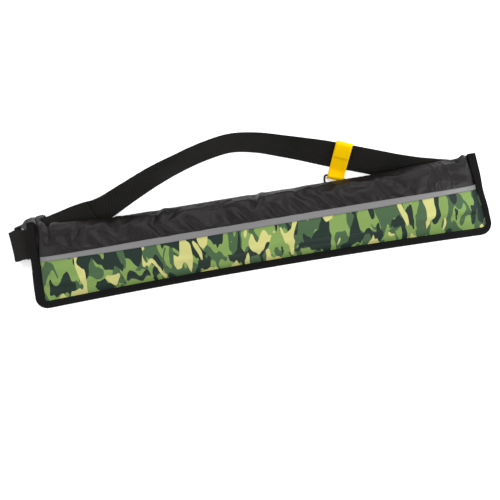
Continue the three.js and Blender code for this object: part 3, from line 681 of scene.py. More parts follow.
def row_point(row, x):
    """A section row at x: its layer, its y, and its z where the pouch is filled."""
    if row.z == FLANGE:
        y = bound_edge_y(x, CLOTH_INSET) + row.y
        return (row.layer, y, seam_z(x, y) + row.layer * LAYER)
    flat_y = EAR_Y[side_of(x)] if row.flat_y == EAR else row.flat_y
    y = mix(flat_y, row.y, fullness(x))
    back_share = 1 - row.z / SECTION[ROW["upper_belly"]].z
    return (row.layer, y, row.z + back_share * corner_lift(x, y, "back_rise"))


# %% A smooth curve through points
SHORTEST_SPAN = 1e-4


def smooth_curve(points):
    """A centripetal Catmull-Rom curve through the points: gives the point at a place counted in points."""
    points = np.array(points, float)
    ends = np.vstack([2 * points[0] - points[1], points, 2 * points[-1] - points[-2]])
    last = len(points) - 2

    def at(place):
        first = min(max(int(place), 0), last)
        share = place - first
        before, start, end, after = ends[first : first + 4]
        lead, span, trail = (
            max(np.linalg.norm(b - a) ** 0.5, SHORTEST_SPAN)
            for a, b in ((before, start), (start, end), (end, after))
        )
        leave = (start - before) / lead - (end - before) / (lead + span) + (end - start) / span
        arrive = (end - start) / span - (after - start) / (span + trail) + (after - end) / trail
        leave, arrive = leave * span, arrive * span
        cubic = 2 * start - 2 * end + leave + arrive
        square = -3 * start + 3 * end - 2 * leave - arrive
        return start + share * (leave + share * (square + share * cubic))

    return at


# %% [markdown]
# Slack cloth is never smooth. Short puckers lean away from the stripe's seam, a few folds come down from
# the top, the print is dented along its crease, and both ends are gathered where they are sewn flat.
# Simulation alone would fold the cloth, but not where the real one is folded. So each fold is a bell-
# shaped dent on the way into the cloth: a table says where it starts, how it leans on its way over the
# panel, and how wide and deep it is. Long ridges show where the panels turn over.

# %% Folds, pleats and dents
Fold = namedtuple("Fold", "x lean width depth")
SEAM_PUCKERS = (
    Fold(-236, -30, 7, 1.4),
    Fold(-188, -36, 6, 3.0),
    Fold(-116, -40, 6.5, 3.8),
    Fold(-74, -38, 6, 3.6),
    Fold(-33, -30, 9, 2.8),
    Fold(-7, -34, 5.5, 3.6),
    Fold(31, -34, 6, 3.2),
    Fold(60, -30, 5.5, 2.8),
    Fold(86, -34, 6, 2.0),
    Fold(106, -36, 5.5, 2.0),
    Fold(178, -30, 8, 1.2),
)
TOP_FOLDS = (
    Fold(-246, 22, 5, 1.8),
    Fold(-178, -14, 5, 2.6),
    Fold(-140, 10, 6, 3.0),
    Fold(-8, 8, 4.5, 3.2),
    Fold(70, -18, 8, 1.4),
    Fold(246, -18, 2.6, 1.2),
    Fold(253, -18, 2.6, 1.2),
    Fold(260, -18, 2.6, 1.2),
)
EAR_PLEATS = (
    Fold(-278, -1.5, 3, -3.0),
    Fold(-271, 0, 2.2, 2.4),
    Fold(-262, 0, 5, -1.2),
    Fold(281, 0, 4, -3.0),
    Fold(266, -4, 6, 1.2),
)
Dimple = namedtuple("Dimple", "x row width row_width depth")
EAR_DIMPLES = (
    Dimple(-288, 5.8, 2.6, 0.75, 4.5),
    Dimple(-271.5, 7.0, 2.0, 0.34, 4.2),
    Dimple(272, 6.5, 4.5, 0.32, 4.4),
    Dimple(288.5, 6.2, 2.4, 0.6, 3.0),
)
TOP_RIDGE = {"row": 6.2, "width": 0.2, "depth": -1.1, "sway": 0.12, "pitch": 230}
CAMO_DENTS = (
    Fold(-210, 10, 16, 1.6),
    Fold(-95, -12, 20, 2.0),
    Fold(20, 8, 18, 1.5),
    Fold(120, -10, 22, 2.0),
    Fold(225, 8, 16, 1.8),
)
LOWER_RIDGE = {"row": 2.3, "width": 0.2, "depth": -1.6, "sway": 0.14, "pitch": 190}
LOWER_VALLEY = {"row": 1.85, "width": 0.16, "depth": 2.4, "sway": 0.14, "pitch": 190}
RIDGE_BESIDE = {"widths": 2, "share": -0.5}


def with_ridges(folds):
    """The folds, each with a lower ridge beside it, as cloth is pushed up where it doesn't sink."""
    away, share = RIDGE_BESIDE["widths"], RIDGE_BESIDE["share"]
    return (*folds, *(Fold(f.x + away * f.width, f.lean, f.width, share * f.depth) for f in folds))


PUCKERS_AND_RIDGES = with_ridges(SEAM_PUCKERS)
TOP_FOLDS_AND_RIDGES = with_ridges(TOP_FOLDS)
print("folds:", len(SEAM_PUCKERS) + len(TOP_FOLDS) + len(EAR_PLEATS) + len(CAMO_DENTS))


# %% How deep one table of folds goes
def dents(folds, x, over):
    """The summed depth of a table of folds, at x and at a share of the way over the cloth."""
    return sum(fold.depth * bell(x - fold.x - fold.lean * over, fold.width) for fold in folds)


def ridge_depth(ridge, x, row):
    """A long ridge that sways along the cloth."""
    sway = ridge["sway"] * math.sin(FULL_TURN * x / ridge["pitch"])
    return ridge["depth"] * bell(row - ridge["row"] - sway, ridge["width"])


def dimple_depth(x, row):
    """Dimples under the top edge of the ears."""
    return sum(d.depth * bell(x - d.x, d.width) * bell(row - d.row, d.row_width) for d in EAR_DIMPLES)


# %% How deep the cloth lies
Window = namedtuple("Window", "starts full fades gone")
PUCKER_WINDOW = Window(0.06, 0.16, 0.3, 0.66)
TOP_WINDOW = Window(0.35, 0.7, 0.9, 1.08)
EAR_WINDOW = Window(0.25, 0.7, 1.15, 1.4)
DENT_WINDOW = Window(-0.6, 0, 0.4, 0.9)
FILLED = {"from": 0.1, "to": 0.5}
GATHER = {"pitch": 27, "depth": 2.6, "reach": 26, "offset": 6, "stripe_rows": 0.7, "top_rows": 0.6}


def within(window, over):
    """1 inside a window on the way over the cloth, fading to 0 at both its ends."""
    return smooth(over, window.starts, window.full) * (1 - smooth(over, window.fades, window.gone))


def filled(x):
    """1 where the pouch is filled, fading to 0 towards its sewn ends."""
    return smooth(fullness(x), FILLED["from"], FILLED["to"])


def fold_depth(x, row):
    """Puckers and folds of the upper panel, the pleats of its ears and its long ridge."""
    stripe, top = ROW["stripe_seam"], ROW["top_fold"]
    over = (row - stripe) / (top - stripe)
    low = within(PUCKER_WINDOW, over) * dents(PUCKERS_AND_RIDGES, x, over)
    high = within(TOP_WINDOW, over) * dents(TOP_FOLDS_AND_RIDGES, x, over)
    ears = within(EAR_WINDOW, over) * dents(EAR_PLEATS, x, over) + dimple_depth(x, row)
    return (low + high + ridge_depth(TOP_RIDGE, x, row)) * filled(x) + ears


def dent_depth(x, row):
    """Dents of the printed panel, along its crease, which is tucked in."""
    crease, stripe = ROW["lower_crease"], ROW["stripe_seam"]
    over = (row - crease) / (stripe - crease)
    tucked = ridge_depth(LOWER_RIDGE, x, row) + ridge_depth(LOWER_VALLEY, x, row)
    return (within(DENT_WINDOW, over) * dents(CAMO_DENTS, x, over) + tucked) * filled(x)


def gather_depth(x, row):
    """Gathers where the filled cloth meets the sewn ends; the stripe holds it flat."""
    crease, stripe, top = ROW["lower_crease"], ROW["stripe_seam"], ROW["top_fold"]
    from_end = max(PINCH_X - abs(x), 0)
    held = 1 - bell(row - stripe, GATHER["stripe_rows"])
    window = smooth(row, crease, crease + 1) * held * (1 - smooth(row, top - GATHER["top_rows"], top))
    flat_y = mix(SECTION[crease].flat_y, EAR_Y[side_of(x)], (row - crease) / (top - crease))
    ripple = math.cos(FULL_TURN * (flat_y + GATHER["offset"] * side_of(x)) / GATHER["pitch"])
    fades = math.exp(-from_end / GATHER["reach"]) * filled(x)
    return GATHER["depth"] * window * ripple * fades


def slack_depth(x, row):
    """How far folds, dents and gathers push the cloth in, at x and at a row, whole or in part."""
    return fold_depth(x, row) + dent_depth(x, row) + gather_depth(x, row)


# %% Places on the cloth
def cloth_column(x, rows):
    """Points of the cloth's outside at x, one for each row, with the way into the cloth at each."""
    points = [row_point(row, x) for row in SECTION]
    body = smooth_curve(points[1:-1])
    inward = np.array([(0, row.in_y, row.in_z) for row in SECTION], float)
    column = []
    for row in rows:
        under = min(int(row), LAST_ROW - 1)
        on_flange = row <= 1 or row >= LAST_ROW - 1
        if on_flange:
            layer, y, z = mix(np.array(points[under]), np.array(points[under + 1]), row - under)
        else:
            layer, y, z = body(row - 1)
        way = mix(inward[under], inward[under + 1], row - under)
        way = way / np.linalg.norm(way)
        flat_z = seam_z(x, y) + layer * LAYER
        height = flat_z if on_flange else mix(flat_z, max(z, 0), fullness(x))
        column.append((np.array((x + end_flare(x, y), y, height)), way))
    return column


def cloth_places(columns_x, rows, depth=0.0):
    """Places of a panel's corners, with the slack in, at a depth under the cloth's outside."""
    places = []
    for x in columns_x:
        column = cloth_column(x, rows)
        places.append([at + way * (slack_depth(x, row) + depth) for (at, way), row in zip(column, rows)])
    return places


def run_length(points):
    """Distances along a line of points, from its first point."""
    steps = [np.linalg.norm(np.array(b) - np.array(a)) for a, b in zip(points, points[1:])]
    return np.concatenate([[0], np.cumsum(steps)])


# %% [markdown]
# The pouch is sewn from three panels, and each is a grid over its part of the section: the printed one
# from the bound edge to the stripe, the black one over the top fold to the back, and the plain back. One
# skin with three finishes would be simpler, but then nothing could be taken apart. The columns are
# closer together near the sewn ends, where the folds are narrow.

# %% Front and back panels
SEAM_GAP = 0.035
ENDS = {"from_x": 220, "closer": 2}
STRIPE = ROW["stripe_seam"]
BACK = ROW["back_seam"]
Grid = namedtuple("Grid", "rows step")
CAMO_GRID = Grid(61, 2)
BACK_GRID = Grid(41, 2.5)
UPPER_GRID = Grid(37, 2.8)


def columns_at(step):
    """Places along the pouch, closer together near its sewn ends."""
    start = ENDS["from_x"]
    end = np.linspace(start, PANEL_X, round((PANEL_X - start) / step * ENDS["closer"]) + 1)
    middle = np.linspace(-start, start, round(2 * start / step) + 1)
    return np.concatenate([-end[::-1], middle[1:-1], end])


def panel(name, first_row, last_row, grid, hold=None):
    """A panel of the pouch between two section rows, and its flat size in metres."""
    rows = np.linspace(first_row, last_row, grid.rows)
    columns_x = columns_at(grid.step)
    places = cloth_places(columns_x, rows)
    flat_v = run_length(places[len(places) // 2])
    held = None if hold is None else [[hold(x, row) for row in rows] for x in columns_x]
    piece = cloth_from_grid(name, places, columns_x, flat_v, held)
    return piece, (2 * PANEL_X * MM, float(flat_v[-1]) * MM)


camo, camo_flat = panel("camo_panel_cloth", 0, STRIPE - SEAM_GAP, CAMO_GRID)
back, back_flat = panel("back_panel_cloth", BACK + SEAM_GAP, LAST_ROW, BACK_GRID)
print("flat sizes in metres:", np.round(camo_flat, 4), np.round(back_flat, 4))

# %% [markdown]
# The black panel is thin nylon with more cloth than its place needs, so it wrinkles. A displacement
# could fake that, but real wrinkles end at the seams and run into each other. Blender's cloth simulation
# does that: the sheet is told that it is a few percent larger, its seams and its underside are held, and
# a few steps let the rest settle. Gravity is off, because the filling carries the cloth.

# %% What holds the slack upper panel
SLACK = {"growth": 0.03, "steps": 24, "loosest": 0.06, "most_mm": 5}
HOLD = {"seam_rows": (0.05, 0.5), "under_from": 0.1, "end_x": (250, 275), "top_share": 0.9, "top_rows": 0.5}


def upper_hold(x, row):
    """How firmly the upper panel is held: fully at its seams, its underside and its ends."""
    at_seam = 1 - smooth(row - STRIPE, *HOLD["seam_rows"])
    under = smooth(row, ROW["top_fold"] + HOLD["under_from"], ROW["under_fold"])
    at_end = smooth(abs(x), *HOLD["end_x"])
    at_top = HOLD["top_share"] * bell(row - ROW["top_fold"], HOLD["top_rows"])
    return max(at_seam, under, at_end, at_top, SLACK["loosest"])


upper, upper_flat = panel("upper_panel_cloth", STRIPE + SEAM_GAP, BACK - SEAM_GAP, UPPER_GRID, upper_hold)
print("flat size in metres:", np.round(upper_flat, 4))

# %% Settling the upper panel
UNEVEN = {"waves": 14, "shortest": 35, "longest": 120, "height": 0.5, "seed": 11}
NYLON_CLOTH = {
    "quality": 8,
    "mass": 0.15,
    "tension_stiffness": 25,
    "compression_stiffness": 25,
    "shear_stiffness": 10,
    "bending_stiffness": 2.5,
    "vertex_group_mass": "held",
    "shrink_min": -SLACK["growth"],
}
LEAST_MOVE = 1e-9


def uneven_height(points):
    """Broad random waves over the cloth, so that it has a way to start to wrinkle."""
    random = np.random.default_rng(UNEVEN["seed"])
    height = np.zeros(len(points))
    for _ in range(UNEVEN["waves"]):
        angle, phase = random.uniform(0, FULL_TURN, 2)
        turns = FULL_TURN / (random.uniform(UNEVEN["shortest"], UNEVEN["longest"]) * MM)
        run = points[:, 0] * math.cos(angle) + points[:, 1] * math.sin(angle)
        height += np.sin(run * turns + phase)
    return height * UNEVEN["height"] * MM / math.sqrt(UNEVEN["waves"])


def settle(piece):
    """Let a sheet that is too large for its place wrinkle, and keep the result as its shape."""
    piece.vertex_groups.new(name="held")
    cloth = piece.modifiers.new("slack", "CLOTH")
    for setting, value in NYLON_CLOTH.items():
        setattr(cloth.settings, setting, value)
    cloth.settings.effector_weights.gravity = 0
    before = np.array([vert.co for vert in piece.data.vertices])
    uneven = before.copy()
    uneven[:, 2] += uneven_height(before)
    piece.data.vertices.foreach_set("co", uneven.ravel())
    for step in range(1, SLACK["steps"] + 1):
        bpy.context.scene.frame_set(step)
    settled = piece.evaluated_get(bpy.context.evaluated_depsgraph_get())
    moved = np.array([vert.co for vert in settled.data.vertices]) - before
    far = np.linalg.norm(moved, axis=1, keepdims=True)
    moved *= np.minimum(1, SLACK["most_mm"] * MM / np.maximum(far, LEAST_MOVE))
    piece.modifiers.remove(cloth)
    piece.data.vertices.foreach_set("co", (before + moved).ravel())
    piece.data.update()
    bpy.context.scene.frame_set(1)
    print("settled by up to", round(float(far.max()) / MM, 2), "mm")


settle(upper)

# %% Finishing the panels
smoother = upper.modifiers.new("finer", "SUBSURF")
smoother.levels = 1
smoother.render_levels = 1
smoother.boundary_smooth = "PRESERVE_CORNERS"
for piece, material, slot, node in (
    (camo, camouflage, "print", "camo_panel"),
    (upper, nylon, "nylon", "upper_panel"),
    (back, nylon, "nylon", "back_panel"),
):
    thicken(piece, CLOTH, -1)
    dress(piece, material, slot, node)

# %% [markdown]
# The grey stripe is reflective tape, sewn over the seam between the two front panels. It could be a
# colour on the cloth, but its raised edges catch the light. So it is a narrow grid of its own, laid just
# over the cloth along that seam.

# %% Reflective stripe
CLEARANCE = 0.3
STRIPE_TAPE = {
    "half_rows": 0.25,
    "thickness": 0.8,
    "row_count": 8,
    "left": -287,
    "right": 290,
    "columns": 240,
}
STRIPE_ENDS = {"share": 0.72, "from_x": 130, "to_x": 285}
STRIPE_REACH = (STRIPE_ENDS["from_x"], STRIPE_ENDS["to_x"])
STRIPE_TOP = -CLEARANCE - STRIPE_TAPE["thickness"]


def stripe_column(x, shares):
    """The tape's places across at x, by shares of its half width: its edges roll under towards the ends."""
    half = STRIPE_TAPE["half_rows"] * mix(1, STRIPE_ENDS["share"], smooth(abs(x), *STRIPE_REACH))
    return cloth_places([x], [STRIPE + half * share for share in shares], STRIPE_TOP)[0]


def stripe_columns(count):
    """Places along the tape."""
    return np.linspace(STRIPE_TAPE["left"], STRIPE_TAPE["right"], count + 1)


def reflective_stripe():
    columns_x = stripe_columns(STRIPE_TAPE["columns"])
    shares = np.linspace(-1, 1, STRIPE_TAPE["row_count"] + 1)
    places = [stripe_column(x, shares) for x in columns_x]
    flat_v = run_length(places[len(places) // 2])
    piece = cloth_from_grid("reflective_stripe_tape", places, columns_x, flat_v)
    thicken(piece, STRIPE_TAPE["thickness"], -1)
    return dress(piece, reflective, "reflective", "reflective_stripe")


stripe = reflective_stripe()

# %% [markdown]
# The raw edges are bound: a tape is folded round them and sewn through. A bevelled tube along the edge
# would have no lips to sew. So the tape is one more grid. Its line in plan goes up one end, round a
# corner, along the bottom and up the other end, and across, it goes from its front lip round the fold to
# its back lip.

# %% Edge binding
TAPE = 1.0
# Along the ends the widths reach past the tape itself: the black tape also covers the groove of shade beside
# it, as a dark band in place of that shade.
TAPE_WIDTH = {"bottom": 9.2, LEFT: {"low": 12.8, "high": 10.4}, RIGHT: {"low": 7.8, "high": 12}}
TAPE_WIDENS = {"from_y": 40, "to_y": 85}
SLOT = LAYER + CLEARANCE
TAPE_MIDDLE = SLOT + TAPE / 2
BindingPoint = namedtuple("BindingPoint", "x y out_x out_y")


def binding_half(side, step=2.5):
    """Half of the binding's outer line, from the middle of the bound edge to one ear."""
    corner_y = bound_edge_y(CORNER_X, 0) + CORNER_RADIUS
    line = [BindingPoint(side * x, bound_edge_y(x, 0), 0, -1) for x in np.arange(0, CORNER_X, step)]
    arc_steps = round(CORNER_RADIUS * math.pi / 2 / step)
    for angle in np.linspace(0, math.pi / 2, arc_steps + 1):
        out_x, out_y = math.sin(angle), -math.cos(angle)
        x, y = CORNER_X + CORNER_RADIUS * out_x, corner_y + CORNER_RADIUS * out_y
        line.append(BindingPoint(side * x, y, side * out_x, out_y))
    top_y = EAR_Y[side] + TAPE
    for y in np.linspace(corner_y, top_y, round((top_y - corner_y) / step) + 1)[1:]:
        line.append(BindingPoint(side * HALF_LENGTH, y, side, 0))
    return line


def lip_reach(point):
    """How wide the tape shows at a point of its line: along the ends it reaches further in, so its black
    covers the band of shade beside the binding as well as the tape.
    """
    ends = TAPE_WIDTH[side_of(point.x)]
    risen = smooth(point.y, TAPE_WIDENS["from_y"], TAPE_WIDENS["to_y"])
    at_end = mix(ends["low"], ends["high"], risen)
    return mix(TAPE_WIDTH["bottom"], at_end, point.out_x**2)


FRONT_ROW_COUNT = 29
FRONT_ROWS = np.linspace(0, ROW["top_fold"], FRONT_ROW_COUNT)


def cloth_height(x, y):
    """The height of the cloth's front over a place in plan."""
    column = [at for at, _ in cloth_column(x, FRONT_ROWS)]
    return np.interp(y, [at[1] for at in column], [at[2] for at in column])


def across_tape(lip, faces=8, turn=8):
    """The tape's section: distance inside its outer edge and height, from the front lip to the back lip."""
    radius = TAPE_MIDDLE
    front = [(reach, radius) for reach in np.linspace(lip, radius + TAPE / 2, faces)]
    angles = np.linspace(math.pi / 2, -math.pi / 2, turn + 1)[1:-1]
    fold = [(radius + TAPE / 2 - radius * math.cos(a), radius * math.sin(a)) for a in angles]
    return front + fold + [(reach, -height) for reach, height in reversed(front)]


binding_line = list(reversed(binding_half(LEFT)[1:])) + binding_half(RIGHT)


def on_binding(point, reach, height):
    """A point of the tape, inside its outer edge; along the ends its front lies on the rising cloth."""
    x = point.x - point.out_x * reach
    y = point.y - point.out_y * reach
    z = seam_z(x, y) + height
    if height > 0 and abs(x) < PINCH_X and point.out_x != 0:
        z = max(z, cloth_height(x, y) + height - LAYER)
    return np.array((x + end_flare(x, y), y, z))


def edge_binding():
    places = []
    for point in binding_line:
        places.append([on_binding(point, reach, height) for reach, height in across_tape(lip_reach(point))])
    flat_u = run_length([(p.x, p.y) for p in binding_line])
    flat_v = run_length(across_tape(TAPE_WIDTH["bottom"]))
    piece = cloth_from_grid("edge_binding_tape", places, flat_u, flat_v)
    piece.data.flip_normals()
    thicken(piece, TAPE, 0)
    dress(piece, tape, "binding", "edge_binding")


edge_binding()

# %% [markdown]
# The belt is 40 mm webbing. It stands on its edge in an arch, as stiff new webbing does, goes round the
# buckle's bar and comes back as a short doubled tail. At the other side of the buckle a short piece is
# folded over to meet it. Webbing bends but doesn't stretch, so a simulation has little to add: each
# strip is drawn through stations, and each station gives the strip's two edges. First come the fold of
# the short piece, and the buckle's own frame, which follows from it.

# %% The short webbing's fold and the buckle's frame
STRAP = {"width": 40, "thickness": 1.8, "steps": 300}
TAIL = {"end_x": -206, "steps": 40, "settles": 0.65}
STUB = {
    "start_x": -279,
    "centre_y": 82.4,
    "fold_x": -318.6,
    "lean": math.radians(7),
    "top_z": 13,
    "tail": 8,
    "steps": 80,
}
BUCKLE = {"bar_from_fold": 9.5, "bar_radius": 2.2, "middle_z": 5.5, "plug_bar": 36}
UP = np.array((0.0, 0, 1))
wrap_radius = BUCKLE["bar_radius"] + CLEARANCE + STRAP["thickness"] / 2
lower_web_z = BUCKLE["middle_z"] - wrap_radius
stub_z = STUB["top_z"] - STRAP["thickness"] / 2
fold_out = np.array((-math.cos(STUB["lean"]), -math.sin(STUB["lean"]), 0))
fold_radius = (stub_z - lower_web_z) / 2
half_turn = math.pi * fold_radius


def folded_point(x, y):
    """A point of the short webbing, laid flat at x and y, after its half turn about the slanted fold."""
    flat = np.array((x, y, 0.0))
    past = (flat - np.array((STUB["fold_x"], STUB["centre_y"], 0))) @ fold_out
    foot = flat - fold_out * past
    if past <= 0:
        return flat + UP * stub_z
    if past >= half_turn:
        return foot + fold_out * (half_turn - past) + UP * lower_web_z
    angle = past / fold_radius
    z = stub_z - fold_radius * (1 - math.cos(angle))
    return foot + fold_out * fold_radius * math.sin(angle) + UP * z


bar_x = STUB["fold_x"] - (half_turn + BUCKLE["bar_from_fold"]) / math.cos(STUB["lean"])
bar = folded_point(bar_x, STUB["centre_y"]) * np.array((1, 1, 0))
along_buckle = np.array((math.cos(2 * STUB["lean"]), math.sin(2 * STUB["lean"]), 0))
across_buckle = np.array((-along_buckle[1], along_buckle[0], 0))


def across_web(middle, way):
    """The webbing's two edges, about its middle."""
    half = STRAP["width"] / 2
    return middle - way * half, middle + way * half


def turn_round_bar(distance, side, steps=12):
    """Half a turn of webbing round a bar, from under it to over it."""
    stations = []
    for angle in np.linspace(-math.pi / 2, math.pi / 2, steps + 1):
        reach = distance + side * wrap_radius * math.cos(angle)
        z = BUCKLE["middle_z"] + wrap_radius * math.sin(angle)
        stations.append(across_web(bar + along_buckle * reach + UP * z, across_buckle))
    return stations


print("buckle's bar at", np.round(bar, 1))

# %% [markdown]
# The belt's lower edge follows a smooth curve through a table of places, and a tilt says how steeply the
# webbing stands there: nearly flat where it is sewn in and at the buckle, and almost upright in the
# arch.

# %% The belt's run
StrapRow = namedtuple("StrapRow", "x y tilt lift")
STRAP_RUN = (
    StrapRow(280, 60, 3, 9.6),
    StrapRow(262, 61.5, 7, 8),
    StrapRow(240, 69, 26, 2),
    StrapRow(212, 81.5, 47, 0),
    StrapRow(182, 94, 54, 1),
    StrapRow(150, 106.2, 55, 3.2),
    StrapRow(125, 115.7, 55, 3.5),
    StrapRow(100, 125.3, 55, 3.5),
    StrapRow(72, 137.6, 61, 2.4),
    StrapRow(45, 149, 65.5, 0.6),
    StrapRow(13, 160.6, 69.5, 0),
    StrapRow(-19, 166.2, 72.5, 0),
    StrapRow(-53, 161.4, 73, 0),
    StrapRow(-88, 151.5, 73, 0),
    StrapRow(-123, 137.6, 68.5, 0),
    StrapRow(-158, 120.6, 64.5, 0),
    StrapRow(-188, 104.6, 59, 0),
    StrapRow(-206, 94.8, 44, 0.3),
)
STRAP_TO_BUCKLE = ((26, 14), (12, 0), (0, 0))
strap_rows = list(STRAP_RUN)
for left, tilt in STRAP_TO_BUCKLE:
    lower, _ = across_web(bar + along_buckle * (BUCKLE["plug_bar"] + left), across_buckle)
    strap_rows.append(StrapRow(lower[0], lower[1], tilt, lower_web_z - STRAP["thickness"] / 2))
edge_curve = smooth_curve([(row.x, row.y, row.lift) for row in strap_rows])
slope_curve = smooth_curve([(place, row.tilt, 0) for place, row in enumerate(strap_rows)])
LAST_STRAP_PLACE = len(strap_rows) - 2
NEARBY = 0.001
SEARCH_STEPS = 2000
print("belt's run through", len(strap_rows), "places")


def strap_frame(place):
    """The belt at a place of its run: its lower edge, three ways and its tilt.

    The ways are up its slope, out of its face, and level across it.
    """
    edge = edge_curve(place)
    way = edge_curve(place + NEARBY) - edge_curve(place - NEARBY)
    way[2] = 0
    way = way / np.linalg.norm(way)
    tilt = math.radians(max(slope_curve(place)[1], 0))
    outwards = np.array((way[1], -way[0], 0))
    edge[2] = max(edge[2], 0) + STRAP["thickness"] / 2 * math.cos(tilt)
    up_slope = outwards * math.cos(tilt) + UP * math.sin(tilt)
    face = -outwards * math.sin(tilt) + UP * math.cos(tilt)
    return edge, up_slope, face, outwards, tilt


def strap_station(place, raised=0.0):
    """The belt's two edges at a place of its run, raised off its face."""
    edge, up_slope, face, _, _ = strap_frame(place)
    lower = edge + face * raised
    return lower, lower + up_slope * STRAP["width"]


def place_at_x(x):
    """The place of the belt's run at which its lower edge reaches x."""
    places = np.linspace(0, LAST_STRAP_PLACE, SEARCH_STEPS)
    return next(place for place in places if edge_curve(place)[0] < x)


# %% Webbing pieces
ACROSS_STEPS = 10
SOFT_EDGE = {"width": 0.5, "segments": 2, "sharper_than": 60}


def webbing_piece(name, stations, material, slot, node):
    """A flat strip through stations, each with its two edges, with soft edges."""
    shares = np.linspace(0, 1, ACROSS_STEPS + 1)
    places = [[mix(lower, upper, share) for share in shares] for lower, upper in stations]
    middles = [mix(lower, upper, 0.5) for lower, upper in stations]
    flat_u = run_length(middles)
    piece = cloth_from_grid(name, places, flat_u, shares * STRAP["width"])
    thicken(piece, STRAP["thickness"], 0)
    soften = piece.modifiers.new("soft edge", "BEVEL")
    soften.width = SOFT_EDGE["width"] * MM
    soften.segments = SOFT_EDGE["segments"]
    soften.limit_method = "ANGLE"
    soften.angle_limit = math.radians(SOFT_EDGE["sharper_than"])
    dress(piece, material, slot, node)
    return piece


def waist_strap_stations():
    """The belt from its sewn end, round the buckle's bar and back along itself."""
    run = [strap_station(place) for place in np.linspace(0, LAST_STRAP_PLACE, STRAP["steps"] + 1)]
    turn = turn_round_bar(BUCKLE["plug_bar"], -1)
    tail = []
    tail_place = place_at_x(TAIL["end_x"])
    doubled = STRAP["thickness"] + CLEARANCE
    for share in np.linspace(0, 1, TAIL["steps"] + 1):
        raised = mix(2 * wrap_radius, doubled, smooth(share, 0, TAIL["settles"]))
        tail.append(strap_station(mix(LAST_STRAP_PLACE, tail_place, share), raised))
    return run[:-1] + turn + tail[1:]


def buckle_stub_stations():
    """The short webbing from the pouch, over its fold and round the other bar."""
    half = STRAP["width"] / 2
    run = []
    for x in np.linspace(STUB["start_x"], bar_x, STUB["steps"])[:-1]:
        run.append((folded_point(x, STUB["centre_y"] - half), folded_point(x, STUB["centre_y"] + half)))
    tail = bar - along_buckle * STUB["tail"] + UP * (BUCKLE["middle_z"] + wrap_radius)
    return run + turn_round_bar(0, 1) + [across_web(tail, across_buckle)]


strap = webbing_piece(
    "waist_strap_webbing",
    waist_strap_stations(),
    webbing,
    "webbing",
    "waist_strap",
)
webbing_piece(
    "buckle_stub_webbing",
    buckle_stub_stations(),
    webbing,
    "webbing",
    "buckle_stub",
)

# %% [markdown]
# The buckle is moulded plastic in two halves, fastened. They could be modelled anew, but their CAD
# solids have the right shape and clearances. So a copy of each is merged, its flat faces are joined up
# again, and its sharp edges are rounded, as a mould leaves them.

# %% Buckle mouldings
MOULD = {"edge": 1.1, "segments": 3, "merge": 0.01, "flat_below": 1, "sharp_above": 25}


def moulding(node, name):
    """A CAD solid with its edges rounded."""
    mesh = bmesh.new()
    mesh.from_mesh(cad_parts[node].data)
    bmesh.ops.remove_doubles(mesh, verts=mesh.verts, dist=MOULD["merge"] * MM)
    flat_angle = math.radians(MOULD["flat_below"])
    bmesh.ops.dissolve_limit(mesh, angle_limit=flat_angle, verts=mesh.verts, edges=mesh.edges)
    sharp_angle = math.radians(MOULD["sharp_above"])
    sharp = [edge for edge in mesh.edges if edge.is_manifold and edge.calc_face_angle() > sharp_angle]
    bmesh.ops.bevel(
        mesh,
        geom=sharp,
        offset=MOULD["edge"] * MM,
        segments=MOULD["segments"],
        profile=0.5,
        affect="EDGES",
        clamp_overlap=True,
        material=-1,
    )
    dress(finished(name, mesh), plastic, "buckle", node)


moulding("buckle_socket", "buckle_socket_moulding")
moulding("buckle_plug", "buckle_plug_moulding")

# %% [markdown]
# The yellow tab is one strip of webbing. It starts on the belt's face, goes over the belt's upper edge,
# down behind it, out along the surface, round the ring's bar and back up the face, where its first end
# covers it. Its layers touch, so a simulation would push them apart. It is drawn instead: its section is
# a line, and the strip follows it.

# %% Ring tab's frame
TAB = {"x": 118, "width": 22, "yaw": math.radians(-3.5), "cloth": 1.4, "room": 0.85, "seam_up": 1.5}
TAB_INNER = STRAP["thickness"] / 2 + TAB["room"] + TAB["cloth"] / 2
TUNNEL = {"distance": 13, "radius": 2.2, "foot": 0.1}
tab_edge, _, _, tab_out, tab_tilt = strap_frame(place_at_x(TAB["x"]))
tab_along = np.cross(tab_out, UP)
tab_x = tab_out * math.cos(TAB["yaw"]) - tab_along * math.sin(TAB["yaw"])
tab_z = tab_out * math.sin(TAB["yaw"]) + tab_along * math.cos(TAB["yaw"])
tunnel_at = np.array((-TUNNEL["distance"], TUNNEL["foot"] + TUNNEL["radius"] + TAB["cloth"]))


def in_tab(out, up, along):
    """A point of the tab's frame: out from the belt, up, and along the belt."""
    return np.array((tab_edge[0], tab_edge[1], 0)) + tab_x * out + UP * up + tab_z * along


def on_belt(up, face):
    """A point of the tab's section, by its distance up the belt and out of the belt's face."""
    cos, sin = math.cos(tab_tilt), math.sin(tab_tilt)
    return (up * cos - face * sin, tab_edge[2] + up * sin + face * cos)


# %% Ring tab
# Distances up the belt, then how far the tab eases in towards it there
FACE_POINTS = ((19.5, 0), (27, 0), (35, 0.2))
# How far the tab's turn over the belt's upper edge starts below it, stands off it and rises past it
TOP_TURN = {"below": 1.4, "off": 0.3, "past": 0.2}
# Distances up the belt, behind it and then in front of it
BEHIND_UPS = (34, 14, 3)
FRONT_UPS = (1, 6, 13, 24)
# Distances out from the belt's foot, then heights over the layer that lies there
UNDER_POINTS = ((0.6, 0.3), (-4, 0), (-9, 0))
RETURN_POINTS = ((-8.4, 0.5), (-6, 0.2))
LAYER_GAP = 0.1
TUNNEL_ANGLES = np.radians(np.linspace(-90, -350, 14))
TAB_STEPS = {"along": 160, "across": 9}


